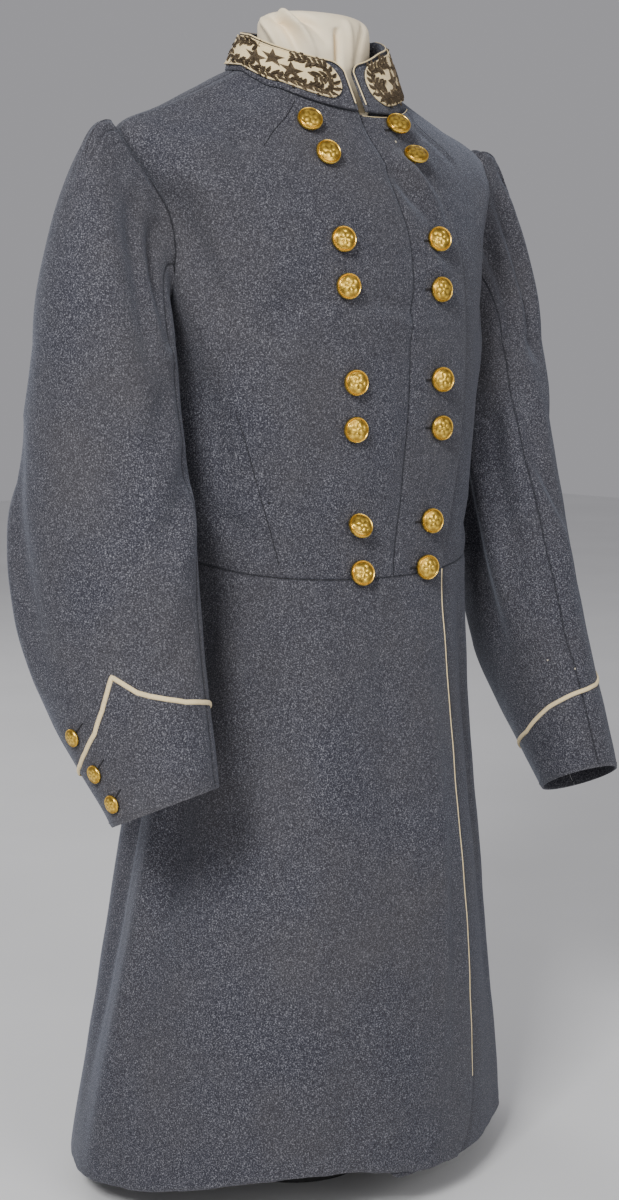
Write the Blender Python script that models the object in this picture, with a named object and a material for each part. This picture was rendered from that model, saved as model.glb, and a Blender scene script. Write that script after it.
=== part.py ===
"""A double-breasted frock coat, worn by a limbless dress form on a low stand.

Metres, +Z up. The coat faces -Y and the wearer's left side is +X. The origin lies on the
floor, under the middle of the stand's base. Each cloth piece is a wall that runs between
two seams of one shared surface, so that neighbours meet with the same slope.
"""

import math
from collections import namedtuple

import bpy
import numpy as np
from mathutils.bvhtree import BVHTree

# Driving dimensions
CLOTH = 0.0024           # the wool and its lining, sewn together
SEAM_GAP = 0.0003        # between two pieces that are sewn edge to edge
LAY_GAP = 0.0004         # between a piece and what is sewn flat on it
LAP_GAP = 0.0008         # between the two fronts, which lie loose on each other
LAP = CLOTH + LAP_GAP    # how far the upper front stands above the lower one
SEAT_GAP = 0.0016        # between the coat and the form's shoulders
BUTTON_GAP = 0.0003
PANEL_CLOTH = 0.0010     # the light cloth on the collar
STAR_THICK = 0.0012
SKIRT_PIPING = 0.0022    # the width of each light edge
LAPEL_PIPING = 0.0014
CUFF_PIPING = 0.0042
PIPING_PROUD = 0.0004    # how far an edge piping stands above the cloth beside it
CORNER_WIDE = 0.045      # the rounded front corner of each skirt
CORNER_HIGH = 0.072
COAT_BUTTON = 0.0115     # radius
CUFF_BUTTON = 0.0080
FORM_CENTRE = 0.034      # how far behind the coat's middle the pole and the base stand
BASE_RADIUS = 0.078
BASE_THICK = 0.014
POLE_RADIUS = 0.014

# One row for each ring of the coat's body, from the neck seam down to the hem. A ring is an
# oval: half its width, where its sides, front and back lie in Y, and how high each of them is.
# "square" is 2 for an ellipse and more for fuller corners.
Ring = namedtuple("Ring", "name wide side_y front_y back_y front_z side_z back_z square")
BODY = [
    Ring("neck seam",      0.088,  0.004, -0.055, 0.066, 1.003, 1.036, 1.045, 2.05),
    Ring("neck base",      0.119,  0.004, -0.066, 0.080, 0.978, 1.022, 1.032, 1.95),
    Ring("mid shoulder",   0.169,  0.005, -0.077, 0.096, 0.957, 1.002, 1.008, 1.82),
    Ring("shoulder point", 0.221,  0.007, -0.086, 0.108, 0.934, 0.979, 0.975, 1.72),
    Ring("upper chest",    0.202,  0.006, -0.095, 0.116, 0.898, 0.930, 0.932, 2.04),
    Ring("chest",          0.190,  0.004, -0.101, 0.121, 0.858, 0.872, 0.884, 2.20),
    Ring("armhole foot",   0.181,  0.002, -0.105, 0.122, 0.812, 0.817, 0.832, 2.20),
    Ring("ribs",           0.175,  0.000, -0.107, 0.119, 0.748, 0.754, 0.768, 2.20),
    Ring("midriff",        0.169, -0.001, -0.106, 0.113, 0.670, 0.683, 0.696, 2.15),
    Ring("waist seam",     0.161,  0.000, -0.107, 0.113, 0.592, 0.612, 0.622, 2.10),
    Ring("hip",            0.164,  0.012, -0.119, 0.150, 0.503, 0.512, 0.518, 2.05),
    Ring("seat",           0.170,  0.022, -0.133, 0.170, 0.400, 0.400, 0.402, 2.00),
    Ring("thigh",          0.184,  0.033, -0.144, 0.187, 0.283, 0.279, 0.278, 2.00),
    Ring("knee",           0.202,  0.044, -0.147, 0.198, 0.162, 0.153, 0.146, 2.00),
    Ring("hem",            0.221,  0.057, -0.148, 0.210, 0.038, 0.027, 0.018, 2.00),
]
TIP, FOOT, WAIST, HEM = 3, 6, 9, 14

# Where the seams cross each of those rings, in degrees round from the centre of the front.
Seams = namedtuple("Seams", "lapel_seam lapel_edge side side_back")
SEAMS = [
    Seams(-5.0, 57.0, 100.0, 100.0),
    Seams(-1.5, 38.0, 100.0, 100.0),
    Seams( 1.8, 27.0,  99.0, 104.0),
    Seams( 2.6, 22.5,  98.0, 110.0),
    Seams( 4.2, 25.0,  98.0, 117.5),
    Seams( 4.0, 27.5,  98.0, 126.5),
    Seams( 2.2, 29.5,  98.0, 135.0),
    Seams( 1.2, 28.8,  98.0, 144.0),
    Seams(-0.6, 26.5,  99.0, 152.0),
    Seams(-4.0, 19.5, 100.0, 158.0),
    Seams(-4.0, 17.4, 100.0, 158.0),
    Seams(-4.0, 17.2, 100.0, 158.0),
    Seams(-4.0, 17.4, 100.0, 158.0),
    Seams(-4.0, 18.4, 100.0, 158.0),
    Seams(-4.0, 18.0, 100.0, 158.0),
]

# The armhole, an oval in ring numbers and degrees.
ARMHOLE_MID = (TIP + FOOT) / 2
ARMHOLE_HALF = (FOOT - TIP) / 2
ARMHOLE_AT = 98.0
ARMHOLE_FRONT = 20.0
ARMHOLE_BACK = 24.0
ARMHOLE_STEP = 15.0      # the sewn edges of body and sleeve share a point every so many degrees
TIP_START = 4.64         # the ring number at which the side body's narrow top begins

# The skirt's soft folds: where each stands, how wide it is, how far it moves the hem out, and
# the ring number at which it starts.
Fold = namedtuple("Fold", "at width depth start")
FOLDS = [
    Fold(-150, 10, 0.010, 9.4), Fold(-126, 12, 0.007, 10.0), Fold(-98, 16, 0.004, 11.0),
    Fold(50, 12, 0.004, 10.5), Fold(80, 16, 0.006, 10.8), Fold(112, 14, 0.008, 10.0),
    Fold(148, 10, 0.010, 9.4), Fold(-134, 6, 0.006, 12.0), Fold(45, 6, 0.004, 12.2),
]

# One row for each ring of a sleeve, from under the arm to the cuff's edge. The middle lies
# "out" from the body's middle, at y and z. "across" and "depth" are half sizes. "tilt" lifts the
# ring's front edge and "twist" turns it towards the body, both in degrees.
Sleeve = namedtuple("Sleeve", "name out y z across depth tilt twist")
SLEEVES = {
    "right": [
        Sleeve("under the arm", 0.244,  0.008, 0.800, 0.052, 0.063,  0,  8),
        Sleeve("upper arm",     0.247,  0.009, 0.735, 0.052, 0.073,  3, 12),
        Sleeve("elbow",         0.251,  0.007, 0.650, 0.051, 0.086,  8, 17),
        Sleeve("forearm",       0.251, -0.014, 0.530, 0.048, 0.081, 16, 17),
        Sleeve("cuff edge",     0.247, -0.070, 0.414, 0.038, 0.050, 24, 17),
    ],
    "left": [
        Sleeve("under the arm", 0.241,  0.014, 0.800, 0.051, 0.063,  0,  8),
        Sleeve("upper arm",     0.238,  0.000, 0.735, 0.050, 0.071,  5, 12),
        Sleeve("elbow",         0.236, -0.020, 0.650, 0.049, 0.079, 12, 17),
        Sleeve("forearm",       0.233, -0.064, 0.510, 0.044, 0.074, 22, 17),
        Sleeve("cuff edge",     0.228, -0.137, 0.372, 0.034, 0.042, 27, 17),
    ],
}
SLEEVE_ROWS = np.array([-1, -0.93, -0.82, -0.66, -0.42, -0.1, 0.5, 1.3, 2.1, 2.8, 3.2, 3.6, 4])
CUFF = 4
HEAD_FULLNESS = {"right": 0.23, "left": 0.34}    # how far the sleeve head stands out
FORE_SEAM = (112.0, 96.0)    # degrees round the sleeve from its outer side, at top and cuff
HIND_SEAM = (-75.0, -60.0)
GATHER_WIDTH = 20.0      # degrees between the small gathers in the sleeve head
GATHER_DEPTH = 0.0032
CuffSpot = namedtuple("CuffSpot", "turn height")
CUFF_POINT = 18.0        # degrees, where the cuff's point stands
CUFF_LINE = [            # how high the cuff's light edge stands above the cuff's end
    CuffSpot(-60, 0.0500), CuffSpot(-40, 0.0565), CuffSpot(-25, 0.0645), CuffSpot(-8, 0.0768),
    CuffSpot(5, 0.0938), CuffSpot(12, 0.1068), CuffSpot(18, 0.1196), CuffSpot(25, 0.1103),
    CuffSpot(32, 0.1008), CuffSpot(40, 0.0948), CuffSpot(52, 0.0882), CuffSpot(68, 0.0809),
    CuffSpot(88, 0.0765), CuffSpot(110, 0.0735), CuffSpot(140, 0.0675), CuffSpot(182, 0.0531),
    CuffSpot(240, 0.0470), CuffSpot(300, 0.0500),
]
CUFF_BUTTONS = [CuffSpot(-21.5, 0.018), CuffSpot(-24.5, 0.0455), CuffSpot(-29, 0.079)]

# The standing collar: its upper edge as one more ring, and the angles of its two ends.
COLLAR_TOP = Ring("collar top", 0.077, 0.005, -0.038, 0.049, 1.047, 1.069, 1.079, 2.00)
COLLAR_UPRIGHT = 0.011   # how much higher its left half stands
COLLAR_LEFT = -1.0
COLLAR_RIGHT = 353.0
COLLAR_CLOTH = 0.0026
COLLAR_ROUND = 0.016     # radius of its front corners
COLLAR_HIGH = 0.048
PANEL_LOW = 0.07         # the light panel's edges, as shares of the collar's height
PANEL_HIGH = 0.90
PANEL_INSET = 0.012      # from the collar's end to the panel's
PANEL_ROUND = 0.017
STAR_RADIUS = 0.0100
STARS = [(0.0588, 0.43), (0.0750, 0.62), (0.0915, 0.47)]     # from the collar's end, and height

# The form: where it ends, how far it keeps off the coat at each ring, and its neck.
FORM_FOOT = 10.4
FORM_FOOT_HEIGHT = 0.462
EASE_RINGS = (0.0, 2.0, 2.6, 3.0, 5.0, 7.0, 9.0, 10.4)
EASE = (0.0, 0.0004, 0.003, 0.005, 0.006, 0.008, 0.007, 0.022)
NECK_FOOT = Ring("neck foot", 0.061, 0.006, -0.029, 0.041, 0.999, 1.034, 1.043, 2.00)
Neck = namedtuple("Neck", "wide deep y z")
NECK_RINGS = [
    Neck(0.0600, 0.0340, 0.0055, 1.052), Neck(0.0605, 0.0345, 0.0055, 1.074),
    Neck(0.0580, 0.0330, 0.0060, 1.086), Neck(0.0460, 0.0260, 0.0060, 1.0925),
]
NECK_CLOTH = 0.0012

# The two rows of front buttons: each one's ring number, how far it stands from the middle, and
# how far its face turns towards the wearer's right and nods upwards, in degrees.
Button = namedtuple("Button", "right_ring right right_turn right_nod left_ring left left_turn left_nod")
BUTTONS = [
    Button(0.92, 0.0655, 12,  2, 0.66, 0.0363, 26, 18),
    Button(2.04, 0.0615, 11, -3, 1.98, 0.0448, 24, 27),
    Button(4.30, 0.0650, 13,  2, 4.22, 0.0533, 27,  3),
    Button(5.23, 0.0640, 13, -2, 5.26, 0.0492, 17, -4),
    Button(6.74, 0.0592, 11,  3, 6.73, 0.0463, 24,  2),
    Button(7.30, 0.0588, 12,  1, 7.32, 0.0458, 20, -3),
    Button(8.43, 0.0536,  8, 30, 8.40, 0.0347, 21,  4),
    Button(8.94, 0.0505, 10, 12, 8.93, 0.0279, 24, -4),
]
BACK_BUTTON = (8.84, 164.0)

Finish = namedtuple("Finish", "name colour roughness metallic")
WOOL = Finish("wool", (0.075, 0.078, 0.095, 1), 0.92, 0.0)
BUFF = Finish("buff wool", (0.80, 0.70, 0.48, 1), 0.85, 0.0)
GILT = Finish("gilt brass", (0.85, 0.58, 0.18, 1), 0.28, 1.0)
BULLION = Finish("dark bullion", (0.12, 0.09, 0.06, 1), 0.55, 0.4)
LINEN = Finish("form cloth", (0.80, 0.76, 0.66, 1), 0.80, 0.0)
STEEL = Finish("painted steel", (0.10, 0.10, 0.10, 1), 0.45, 0.0)

SIGN = {"right": -1.0, "left": 1.0}
BODY_NUMBERS = [row[1:] for row in BODY]
ARM_NUMBERS = {side: [row[1:] for row in rows] for side, rows in SLEEVES.items()}


def along(rows, t):
    """The rows' numbers read at row number t, which may fall between rows, on a smooth curve."""
    rows = np.asarray(rows, float)
    padded = np.vstack([2 * rows[0] - rows[1], rows, 2 * rows[-1] - rows[-2]])
    t = np.asarray(t, float)
    i = np.clip(np.floor(t).astype(int), 0, len(rows) - 2)
    f = (t - i)[..., None]
    a, b, c, d = (padded[i + k] for k in range(4))
    return b + 0.5 * f * (c - a + f * (2 * a - 5 * b + 4 * c - d + f * (3 * (b - c) + d - a)))


def smooth_step(x):
    x = np.clip(x, 0.0, 1.0)
    return x * x * (3 - 2 * x)


def oval(u, numbers):
    """The point of a ring at u degrees, from the ring's own numbers."""
    wide, side_y, front_y, back_y, front_z, side_z, back_z, square = numbers
    s, c = np.sin(np.radians(u)), np.cos(np.radians(u))
    x = wide * np.sign(s) * np.abs(s) ** (2 / square)
    w = np.abs(c) ** (2 / square)
    y = side_y + np.where(c > 0, front_y - side_y, back_y - side_y) * w
    z = side_z + np.where(c > 0, front_z - side_z, back_z - side_z) * w
    return np.stack([x, y, z], axis=-1)


def body(u, r):
    """The inner face of the coat's body at u degrees round from the front and ring number r."""
    u, r = np.broadcast_arrays(np.asarray(u, float), np.asarray(r, float))
    point = oval(u, np.moveaxis(along(BODY_NUMBERS, r), -1, 0))
    out = np.zeros(u.shape)
    for fold in FOLDS:
        away = (u - fold.at + 180) % 360 - 180
        grow = smooth_step((r - fold.start) / (HEM - fold.start))
        out = out + fold.depth * grow * np.exp(-((away / fold.width) ** 2))
    s, c = np.sin(np.radians(u)), np.cos(np.radians(u))
    return point + np.stack([s * out, -c * out, np.zeros(u.shape)], axis=-1)


def normals(surface, u, r, du=0.05, dr=0.002):
    """Outward unit normals of a surface whose first argument turns anticlockwise from above."""
    a = surface(u + du, r) - surface(u - du, r)
    b = surface(u, r - dr) - surface(u, r + dr)
    n = np.cross(a, b)
    return n / np.linalg.norm(n, axis=-1, keepdims=True)


def seam(name):
    """The function that gives a seam's angle at ring number r."""
    column = Seams._fields.index(name)
    return lambda r: along(SEAMS, r)[..., column]


def armhole(turn, inside=1.0):
    """Angle and ring number of the armhole at "turn" degrees from its top, forwards."""
    s = np.sin(np.radians(turn))
    reach = np.where(s > 0, ARMHOLE_FRONT, ARMHOLE_BACK) * inside
    return ARMHOLE_AT - reach * s, ARMHOLE_MID - ARMHOLE_HALF * inside * np.cos(np.radians(turn))


TURNS = np.arange(0.0, 180.1, ARMHOLE_STEP)
ARMHOLE_ROWS = armhole(TURNS)[1]
LOWER_ROWS = np.array([6.6, 7.3, 8.0, 8.55, 9])
FRONT_ROWS = np.concatenate([[0, 0.7, 1.4, 2.2], ARMHOLE_ROWS, LOWER_ROWS])
SIDE_ROWS = np.concatenate([[TIP_START], ARMHOLE_ROWS[7:], LOWER_ROWS])
SKIRT_ROWS = np.array([9, 9.6, 10.3, 11.2, 12.2, 13.0, 13.42, 13.7, 13.88, 14])
BACK_ROWS = np.concatenate([FRONT_ROWS, SKIRT_ROWS[1:]])
BACK_ROWS = np.sort(np.append(BACK_ROWS, TIP_START))


def armhole_front(r):
    return np.interp(r, ARMHOLE_ROWS, armhole(TURNS)[0])


def armhole_back(r):
    return np.interp(r, ARMHOLE_ROWS, armhole(-TURNS)[0])


def forepart_outer(r):
    """The forepart's far edge: the shoulder seam, then the armhole, then the side seam."""
    below = np.where(r < FOOT, armhole_front(r), seam("side")(r))
    return np.where(r < TIP, seam("side")(r), below)


def back_outer(r):
    """The back's far edge: the shoulder seam, the armhole and then the side-back seam."""
    below = np.where(r < ARMHOLE_MID + 0.03, armhole_back(r), seam("side_back")(r))
    return np.where(r < TIP, seam("side")(r), below)


def side_front(r):
    """The side body's front edge: the armhole's back and then the side seam."""
    return np.where(r < FOOT, armhole_back(r), seam("side")(r))


def centre_back(r):
    return np.full(np.shape(r), 180.0)


def degrees(width, r):
    """About how many degrees a width takes up at the front of a ring."""
    return width / (np.radians(1) * along(BODY_NUMBERS, r)[..., 0])


def skirt_edge(r):
    """The front edge of a skirt, rounded off towards the hem."""
    height = (HEM - r) * 0.124
    rise = np.clip(1 - height / CORNER_HIGH, 0, 1)
    back = CORNER_WIDE * (1 - np.sqrt(np.maximum(1 - rise * rise, 0)))
    return seam("lapel_edge")(r) - degrees(back, r)


def skirt_cloth(r):
    """Where the wool of the upper skirt ends, just short of its light edge."""
    width = SKIRT_PIPING * (1 - smooth_step((r - 13.0) / 0.5))
    return skirt_edge(r) - degrees(width, r)


def lapel_cloth(r):
    return seam("lapel_edge")(r) - degrees(LAPEL_PIPING, r)


def under_lapel(r):
    return 0.88 * seam("lapel_edge")(r)


def flip(edge):
    return lambda r: -edge(r)


def lap(u, r):
    """How far the right front stands out, so that it clears the left front under it."""
    around = (u + 180) % 360 - 180
    return LAP * smooth_step((around + 68) / 12) + 0 * r


def flat(u, r):
    return 0 * u + 0 * r


def hem_rise(u):
    """The hem's worn, uneven run, as ring numbers above the lowest ring."""
    return 0.20 * np.exp(-(((u + 42) / 30) ** 2)) + 0.03 * np.exp(-(((u - 60) / 25) ** 2))


def sleeve_ring(side, v, t):
    """A point of the sleeve below the arm, v degrees round from its outer side to the front."""
    out, y, z, across, depth, tilt, twist = np.moveaxis(along(ARM_NUMBERS[side], t), -1, 0)
    tilt, twist = np.radians(tilt), np.radians(twist)
    a = across * np.cos(np.radians(v))
    b = depth * np.sin(np.radians(v))
    x = SIGN[side] * (out + a * np.cos(twist) - b * np.cos(tilt) * np.sin(twist))
    y = y - a * np.sin(twist) - b * np.cos(tilt) * np.cos(twist)
    return np.stack([x, y, z + b * np.sin(tilt)], axis=-1)


def armhole_spots(side, v):
    """The two shared points on either side of v on the sleeve's sewn edge, and v's share."""
    steps = np.floor(v / ARMHOLE_STEP)
    spots = []
    for k in (0, 1):
        u, r = armhole((steps + k) * ARMHOLE_STEP, inside=0.978)
        spots.append((SIGN[side] * u, r))
    return spots, (v / ARMHOLE_STEP - steps)[..., None]


def armhole_point(side, v):
    """The sleeve's sewn edge, just inside the armhole, straight between the shared points."""
    (first, second), share = armhole_spots(side, v)
    return body(*first) * (1 - share) + body(*second) * share


def sleeve(side, w, t):
    """The inner face of a sleeve. t runs from -1 at the armhole through 0 under the arm."""
    w, t = np.broadcast_arrays(np.asarray(w, float), np.asarray(t, float))
    v = w if side == "right" else -w
    low = sleeve_ring(side, v, np.maximum(t, 0))
    start = armhole_point(side, v)
    end = sleeve_ring(side, v, np.zeros(v.shape))
    reach = np.linalg.norm(end - start, axis=-1, keepdims=True)
    middle = body(np.full(v.shape, SIGN[side] * ARMHOLE_AT), np.full(v.shape, ARMHOLE_MID))
    inward = middle - start
    low_side = (1 - np.cos(np.radians(v)))[..., None] / 2
    lead = inward / np.linalg.norm(inward, axis=-1, keepdims=True) * (0.35 + 0.3 * low_side)
    lead[..., 0] += SIGN[side]
    lead[..., 2] += 0.40 + 0.32 * np.cos(np.radians(v))
    lead = lead / np.linalg.norm(lead, axis=-1, keepdims=True)
    b = start + lead * (reach * (HEAD_FULLNESS[side] + 0.05 * low_side) + 0.004 * low_side)
    c = end + np.array([0, 0, 1.0]) * reach * 0.45
    f = np.clip(t + 1, 0, 1)[..., None]
    cap = start * (1 - f) ** 3 + 3 * b * f * (1 - f) ** 2 + 3 * c * f * f * (1 - f) + end * f ** 3
    near = np.abs(np.cos(np.radians((v - 20) / 2))) ** 8
    peak = f[..., 0] / 0.14 * np.exp(1 - f[..., 0] / 0.14)
    ripple = GATHER_DEPTH * near * peak * (0.8 + np.cos(2 * np.pi * v / GATHER_WIDTH)) / 1.8
    cap = cap + ripple[..., None] * np.array([SIGN[side] * 0.35, 0, 0.94])
    return np.where(t[..., None] > 0, low, cap)


def sleeve_normals(side, w, t):
    """Normals of a sleeve, turned to the body's own normals where the two are sewn together."""
    own = normals(lambda a, b: sleeve(side, a, b), w, t)
    v = w if side == "right" else -w
    (first, second), share = armhole_spots(side, v)
    sewn = normals(body, *first) * (1 - share) + normals(body, *second) * share
    weight = smooth_step((t + 1) / 0.18)[..., None]
    n = sewn * (1 - weight) + own * weight
    return n / np.linalg.norm(n, axis=-1, keepdims=True)


def collar(u, h):
    """The inner face of the collar, h being 0 at the neck seam and 1 at its upper edge."""
    u, h = np.broadcast_arrays(np.asarray(u, float), np.asarray(h, float))
    base = body(u, np.zeros(u.shape))
    around = (u + 180) % 360 - 180
    drop = 1 - smooth_step((around - 12) / 13)
    lift = lap(u, 0) * drop + CLOTH + 2.5 * LAY_GAP
    base = base + normals(body, u, np.zeros(u.shape)) * lift[..., None]
    top = oval(u, [np.full(u.shape, number) for number in COLLAR_TOP[1:]])
    upright = smooth_step((around - 2) / 40) * (1 - smooth_step((around - 70) / 70))
    top[..., 2] = top[..., 2] + COLLAR_UPRIGHT * upright
    return base * (1 - h[..., None]) + top * h[..., None]


COLLAR_FINE = np.linspace(COLLAR_LEFT, COLLAR_RIGHT, 709)
COLLAR_RUN = collar(COLLAR_FINE, np.full(COLLAR_FINE.shape, 0.5))
COLLAR_ARC = np.concatenate(
    [[0], np.cumsum(np.linalg.norm(np.diff(COLLAR_RUN, axis=0), axis=1))]
)
COLLAR_LENGTH = COLLAR_ARC[-1]


def collar_angle(side, arc):
    """The collar's angle at a distance along it from its left or right front end."""
    place = arc if side == "left" else COLLAR_LENGTH - np.asarray(arc)
    return np.interp(place, COLLAR_ARC, COLLAR_FINE)


def add(name, points, faces, finish, crease=40):
    """Make one named solid, with the frame's origin moved under the middle of the base."""
    material = bpy.data.materials.get(finish.name)
    if material is None:
        material = bpy.data.materials.new(finish.name)
        material.use_nodes = True
        shader = material.node_tree.nodes["Principled BSDF"]
        shader.inputs["Base Color"].default_value = finish.colour
        shader.inputs["Roughness"].default_value = finish.roughness
        shader.inputs["Metallic"].default_value = finish.metallic
    mesh = bpy.data.meshes.new(name)
    moved = np.asarray(points) - np.array([0.0, FORM_CENTRE, 0.0])
    mesh.from_pydata(moved.tolist(), [], [tuple(int(k) for k in face) for face in faces])
    mesh.materials.append(material)
    mesh.polygons.foreach_set("use_smooth", [True] * len(mesh.polygons))
    mesh.set_sharp_from_angle(angle=math.radians(crease))
    bpy.context.scene.collection.objects.link(bpy.data.objects.new(name, mesh))


def shell(name, inner, outer, finish, loop=False, closed_top=False):
    """One closed wall between two grids of points, whose rows run down and columns run round."""
    rows, columns = inner.shape[:2]
    count = rows * columns
    points = np.concatenate([outer.reshape(-1, 3), inner.reshape(-1, 3)])
    faces = []

    def at(i, j, layer):
        return layer * count + i * columns + j % columns

    def square(a, b, c, d):
        faces.append((a, b, c))
        faces.append((a, c, d))

    spans = columns if loop else columns - 1
    low = rows - 1
    end = columns - 1
    for i in range(rows - 1):
        for j in range(spans):
            square(at(i, j, 0), at(i + 1, j, 0), at(i + 1, j + 1, 0), at(i, j + 1, 0))
            square(at(i, j, 1), at(i, j + 1, 1), at(i + 1, j + 1, 1), at(i + 1, j, 1))
    for j in range(spans):
        square(at(low, j, 0), at(low, j, 1), at(low, j + 1, 1), at(low, j + 1, 0))
        if not closed_top:
            square(at(0, j, 0), at(0, j + 1, 0), at(0, j + 1, 1), at(0, j, 1))
    if closed_top:
        points = np.concatenate([points, [outer[0].mean(axis=0), inner[0].mean(axis=0)]])
        for j in range(spans):
            faces.append((2 * count, at(0, j, 0), at(0, j + 1, 0)))
            faces.append((2 * count + 1, at(0, j + 1, 1), at(0, j, 1)))
    if not loop:
        for i in range(rows - 1):
            square(at(i, 0, 0), at(i, 0, 1), at(i + 1, 0, 1), at(i + 1, 0, 0))
            square(at(i, end, 0), at(i + 1, end, 0), at(i + 1, end, 1), at(i, end, 1))
    add(name, points, faces, finish)


def solid(name, rings, finish, crease=40):
    """A closed solid of rings from its top to its foot, each end closed with a fan."""
    rings = np.asarray(rings)
    count, columns = rings.shape[:2]
    points = np.concatenate([rings.reshape(-1, 3), [rings[0].mean(axis=0), rings[-1].mean(axis=0)]])
    top, foot = count * columns, count * columns + 1
    faces = []
    for j in range(columns):
        k = (j + 1) % columns
        faces.append((top, j, k))
        faces.append((foot, (count - 1) * columns + k, (count - 1) * columns + j))
        for i in range(count - 1):
            a, b = i * columns, (i + 1) * columns
            faces.append((a + j, b + j, b + k))
            faces.append((a + j, b + k, a + k))
    add(name, points, faces, finish, crease)


def gap_in_degrees(surface, edge, r, gap):
    """The angle by which an edge draws back so that "gap" is left square to the seam."""
    u = edge(r)
    across = (surface(u + 0.05, r) - surface(u - 0.05, r)) / 0.1
    run = surface(edge(r + 0.01), r + 0.01) - surface(edge(r - 0.01), r - 0.01)
    run = run / np.maximum(np.linalg.norm(run, axis=-1, keepdims=True), 1e-9)
    size = np.linalg.norm(across, axis=-1)
    square = np.linalg.norm(np.cross(across, run), axis=-1)
    return gap / np.maximum(square, 0.3 * size)


def grid(surface, rows, start, stop, columns, gaps=(SEAM_GAP / 2, SEAM_GAP / 2),
         ends=(SEAM_GAP / 2, SEAM_GAP / 2), top=None, bottom=None):
    """Angles and ring numbers of a strip between two seams, drawn back by the gaps round it."""
    rows = np.asarray(rows, float)
    share = np.linspace(0, 1, columns + 1)
    draw_low = gap_in_degrees(surface, start, rows, gaps[0])[:, None]
    draw_high = gap_in_degrees(surface, stop, rows, gaps[1])[:, None]

    def spread(r):
        low = start(r) + draw_low
        high = stop(r) - draw_high
        return low * (1 - share) + high * share

    r = np.repeat(rows[:, None], columns + 1, axis=1)
    u = spread(r)
    for k, sign in ((0, 1), (-1, -1)):
        step = np.linalg.norm(surface(u[k], r[k] + 0.01) - surface(u[k], r[k] - 0.01), axis=-1)
        r[k] = r[k] + sign * ends[k] * 0.02 / step
    depth = (r - r[0]) / (r[-1] - r[0])
    if top is not None:
        r = r + top(share) * (1 - depth) ** 6
    if bottom is not None:
        r = r - bottom(u) * smooth_step((depth - 0.55) / 0.45)
    return spread(r), r


def strip(name, spot, offset, thick=CLOTH, finish=WOOL):
    """A wall of the body over a grid's angles and ring numbers, moved out by "offset"."""
    u, r = spot
    point = body(u, r)
    normal = normals(body, u, r)
    near = offset(u, r)[..., None]
    shell(name, point + normal * near, point + normal * (near + thick), finish)


def sleeve_strip(name, side, w, t, near, thick, finish=WOOL):
    point = sleeve(side, w, t)
    normal = sleeve_normals(side, w, t)
    shell(name, point + normal * near, point + normal * (near + thick), finish)


def sleeve_seam(ends, t):
    """A sleeve seam's angle at t, from its angles at the armhole and at the cuff."""
    return ends[0] + (ends[1] - ends[0]) * smooth_step((t + 0.2) / (CUFF + 0.2))


def sleeve_length(side):
    """The distance from the forearm's ring to the cuff's edge."""
    a, b = (np.array([row.out, row.y, row.z]) for row in SLEEVES[side][-2:])
    return np.linalg.norm(a - b)


def cuff_height(v):
    """How high the cuff's light edge stands above the cuff's end."""
    turns, heights = zip(*CUFF_LINE)
    return np.interp((v + 60) % 360 - 60, turns, heights)


def tilted(normal, turn, nod):
    """A normal turned towards the wearer's right and nodded upwards, in degrees."""
    side = np.cross([0, 0, 1.0], normal)
    side = side / np.linalg.norm(side)
    up = np.cross(normal, side)
    facing = normal - side * math.tan(math.radians(turn)) + up * math.tan(math.radians(nod))
    return facing / np.linalg.norm(facing)


def button(name, carrier, place, normal, radius, finish=GILT):
    """A domed button with a raised rim, let down until it almost meets its carrier's faces."""
    mesh = bpy.data.objects[carrier].data
    tree = BVHTree.FromPolygons([v.co for v in mesh.vertices], [f.vertices for f in mesh.polygons])
    side = np.cross([0, 0, 1.0], normal)
    side = side / np.linalg.norm(side)
    up = np.cross(normal, side)
    turn = np.linspace(0, 2 * np.pi, 13)[:-1]
    profile = [(0.50, 0.0066), (0.82, 0.0048), (1.00, 0.0022), (0.90, 0.0)]
    scale = radius / COAT_BUTTON
    drops = []
    for reach in (0.0, 0.45, 0.9):
        for angle in turn:
            start = place + (side * np.cos(angle) + up * np.sin(angle)) * reach * radius
            start = start + normal * 0.01 - np.array([0.0, FORM_CENTRE, 0.0])
            drops.append(tree.ray_cast(start.tolist(), (-normal).tolist(), 0.05)[3] or 0.05)
    place = place + normal * (0.01 - min(drops) + BUTTON_GAP)
    rings = []
    for wide, high in profile:
        ring = np.outer(np.cos(turn), side) + np.outer(np.sin(turn), up)
        rings.append(place + normal * high * scale + ring * wide * radius)
    solid(name, rings, finish, crease=50)


for old in list(bpy.data.objects):
    bpy.data.objects.remove(old, do_unlink=True)

# Front, sides and back
LAPEL_TOP = 0.17
inner = seam("lapel_seam")
edge = seam("lapel_edge")
side_back = seam("side_back")
at_neck = (0.0, SEAM_GAP / 2)
strip("forepart_right", grid(body, FRONT_ROWS, flip(forepart_outer), inner, 9, ends=at_neck), lap)
strip("forepart_left", grid(body, FRONT_ROWS, flip(inner), forepart_outer, 9, ends=at_neck), flat)
lapel = grid(body, FRONT_ROWS, inner, lapel_cloth, 3, ends=at_neck,
             top=lambda share: LAPEL_TOP + 0.04 * share)
strip("lapel_right", lapel, lap)
lapel = grid(body, FRONT_ROWS, flip(under_lapel), flip(inner), 3, ends=at_neck,
             top=lambda share: LAPEL_TOP + 0 * share)
strip("lapel_left", lapel, flat)
piping = grid(body, FRONT_ROWS, lapel_cloth, edge, 1, ends=at_neck,
              top=lambda share: LAPEL_TOP + 0.04 + 0 * share)
strip("lapel_piping", piping, lap, CLOTH + PIPING_PROUD, BUFF)
strip("side_body_right", grid(body, SIDE_ROWS, flip(side_back), flip(side_front), 4), flat)
strip("side_body_left", grid(body, SIDE_ROWS, side_front, side_back, 4), flat)
to_hem = (0.0, 0.0)
strip("back_right", grid(body, BACK_ROWS, flip(centre_back), flip(back_outer), 5, ends=to_hem,
                         bottom=hem_rise), flat)
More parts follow.
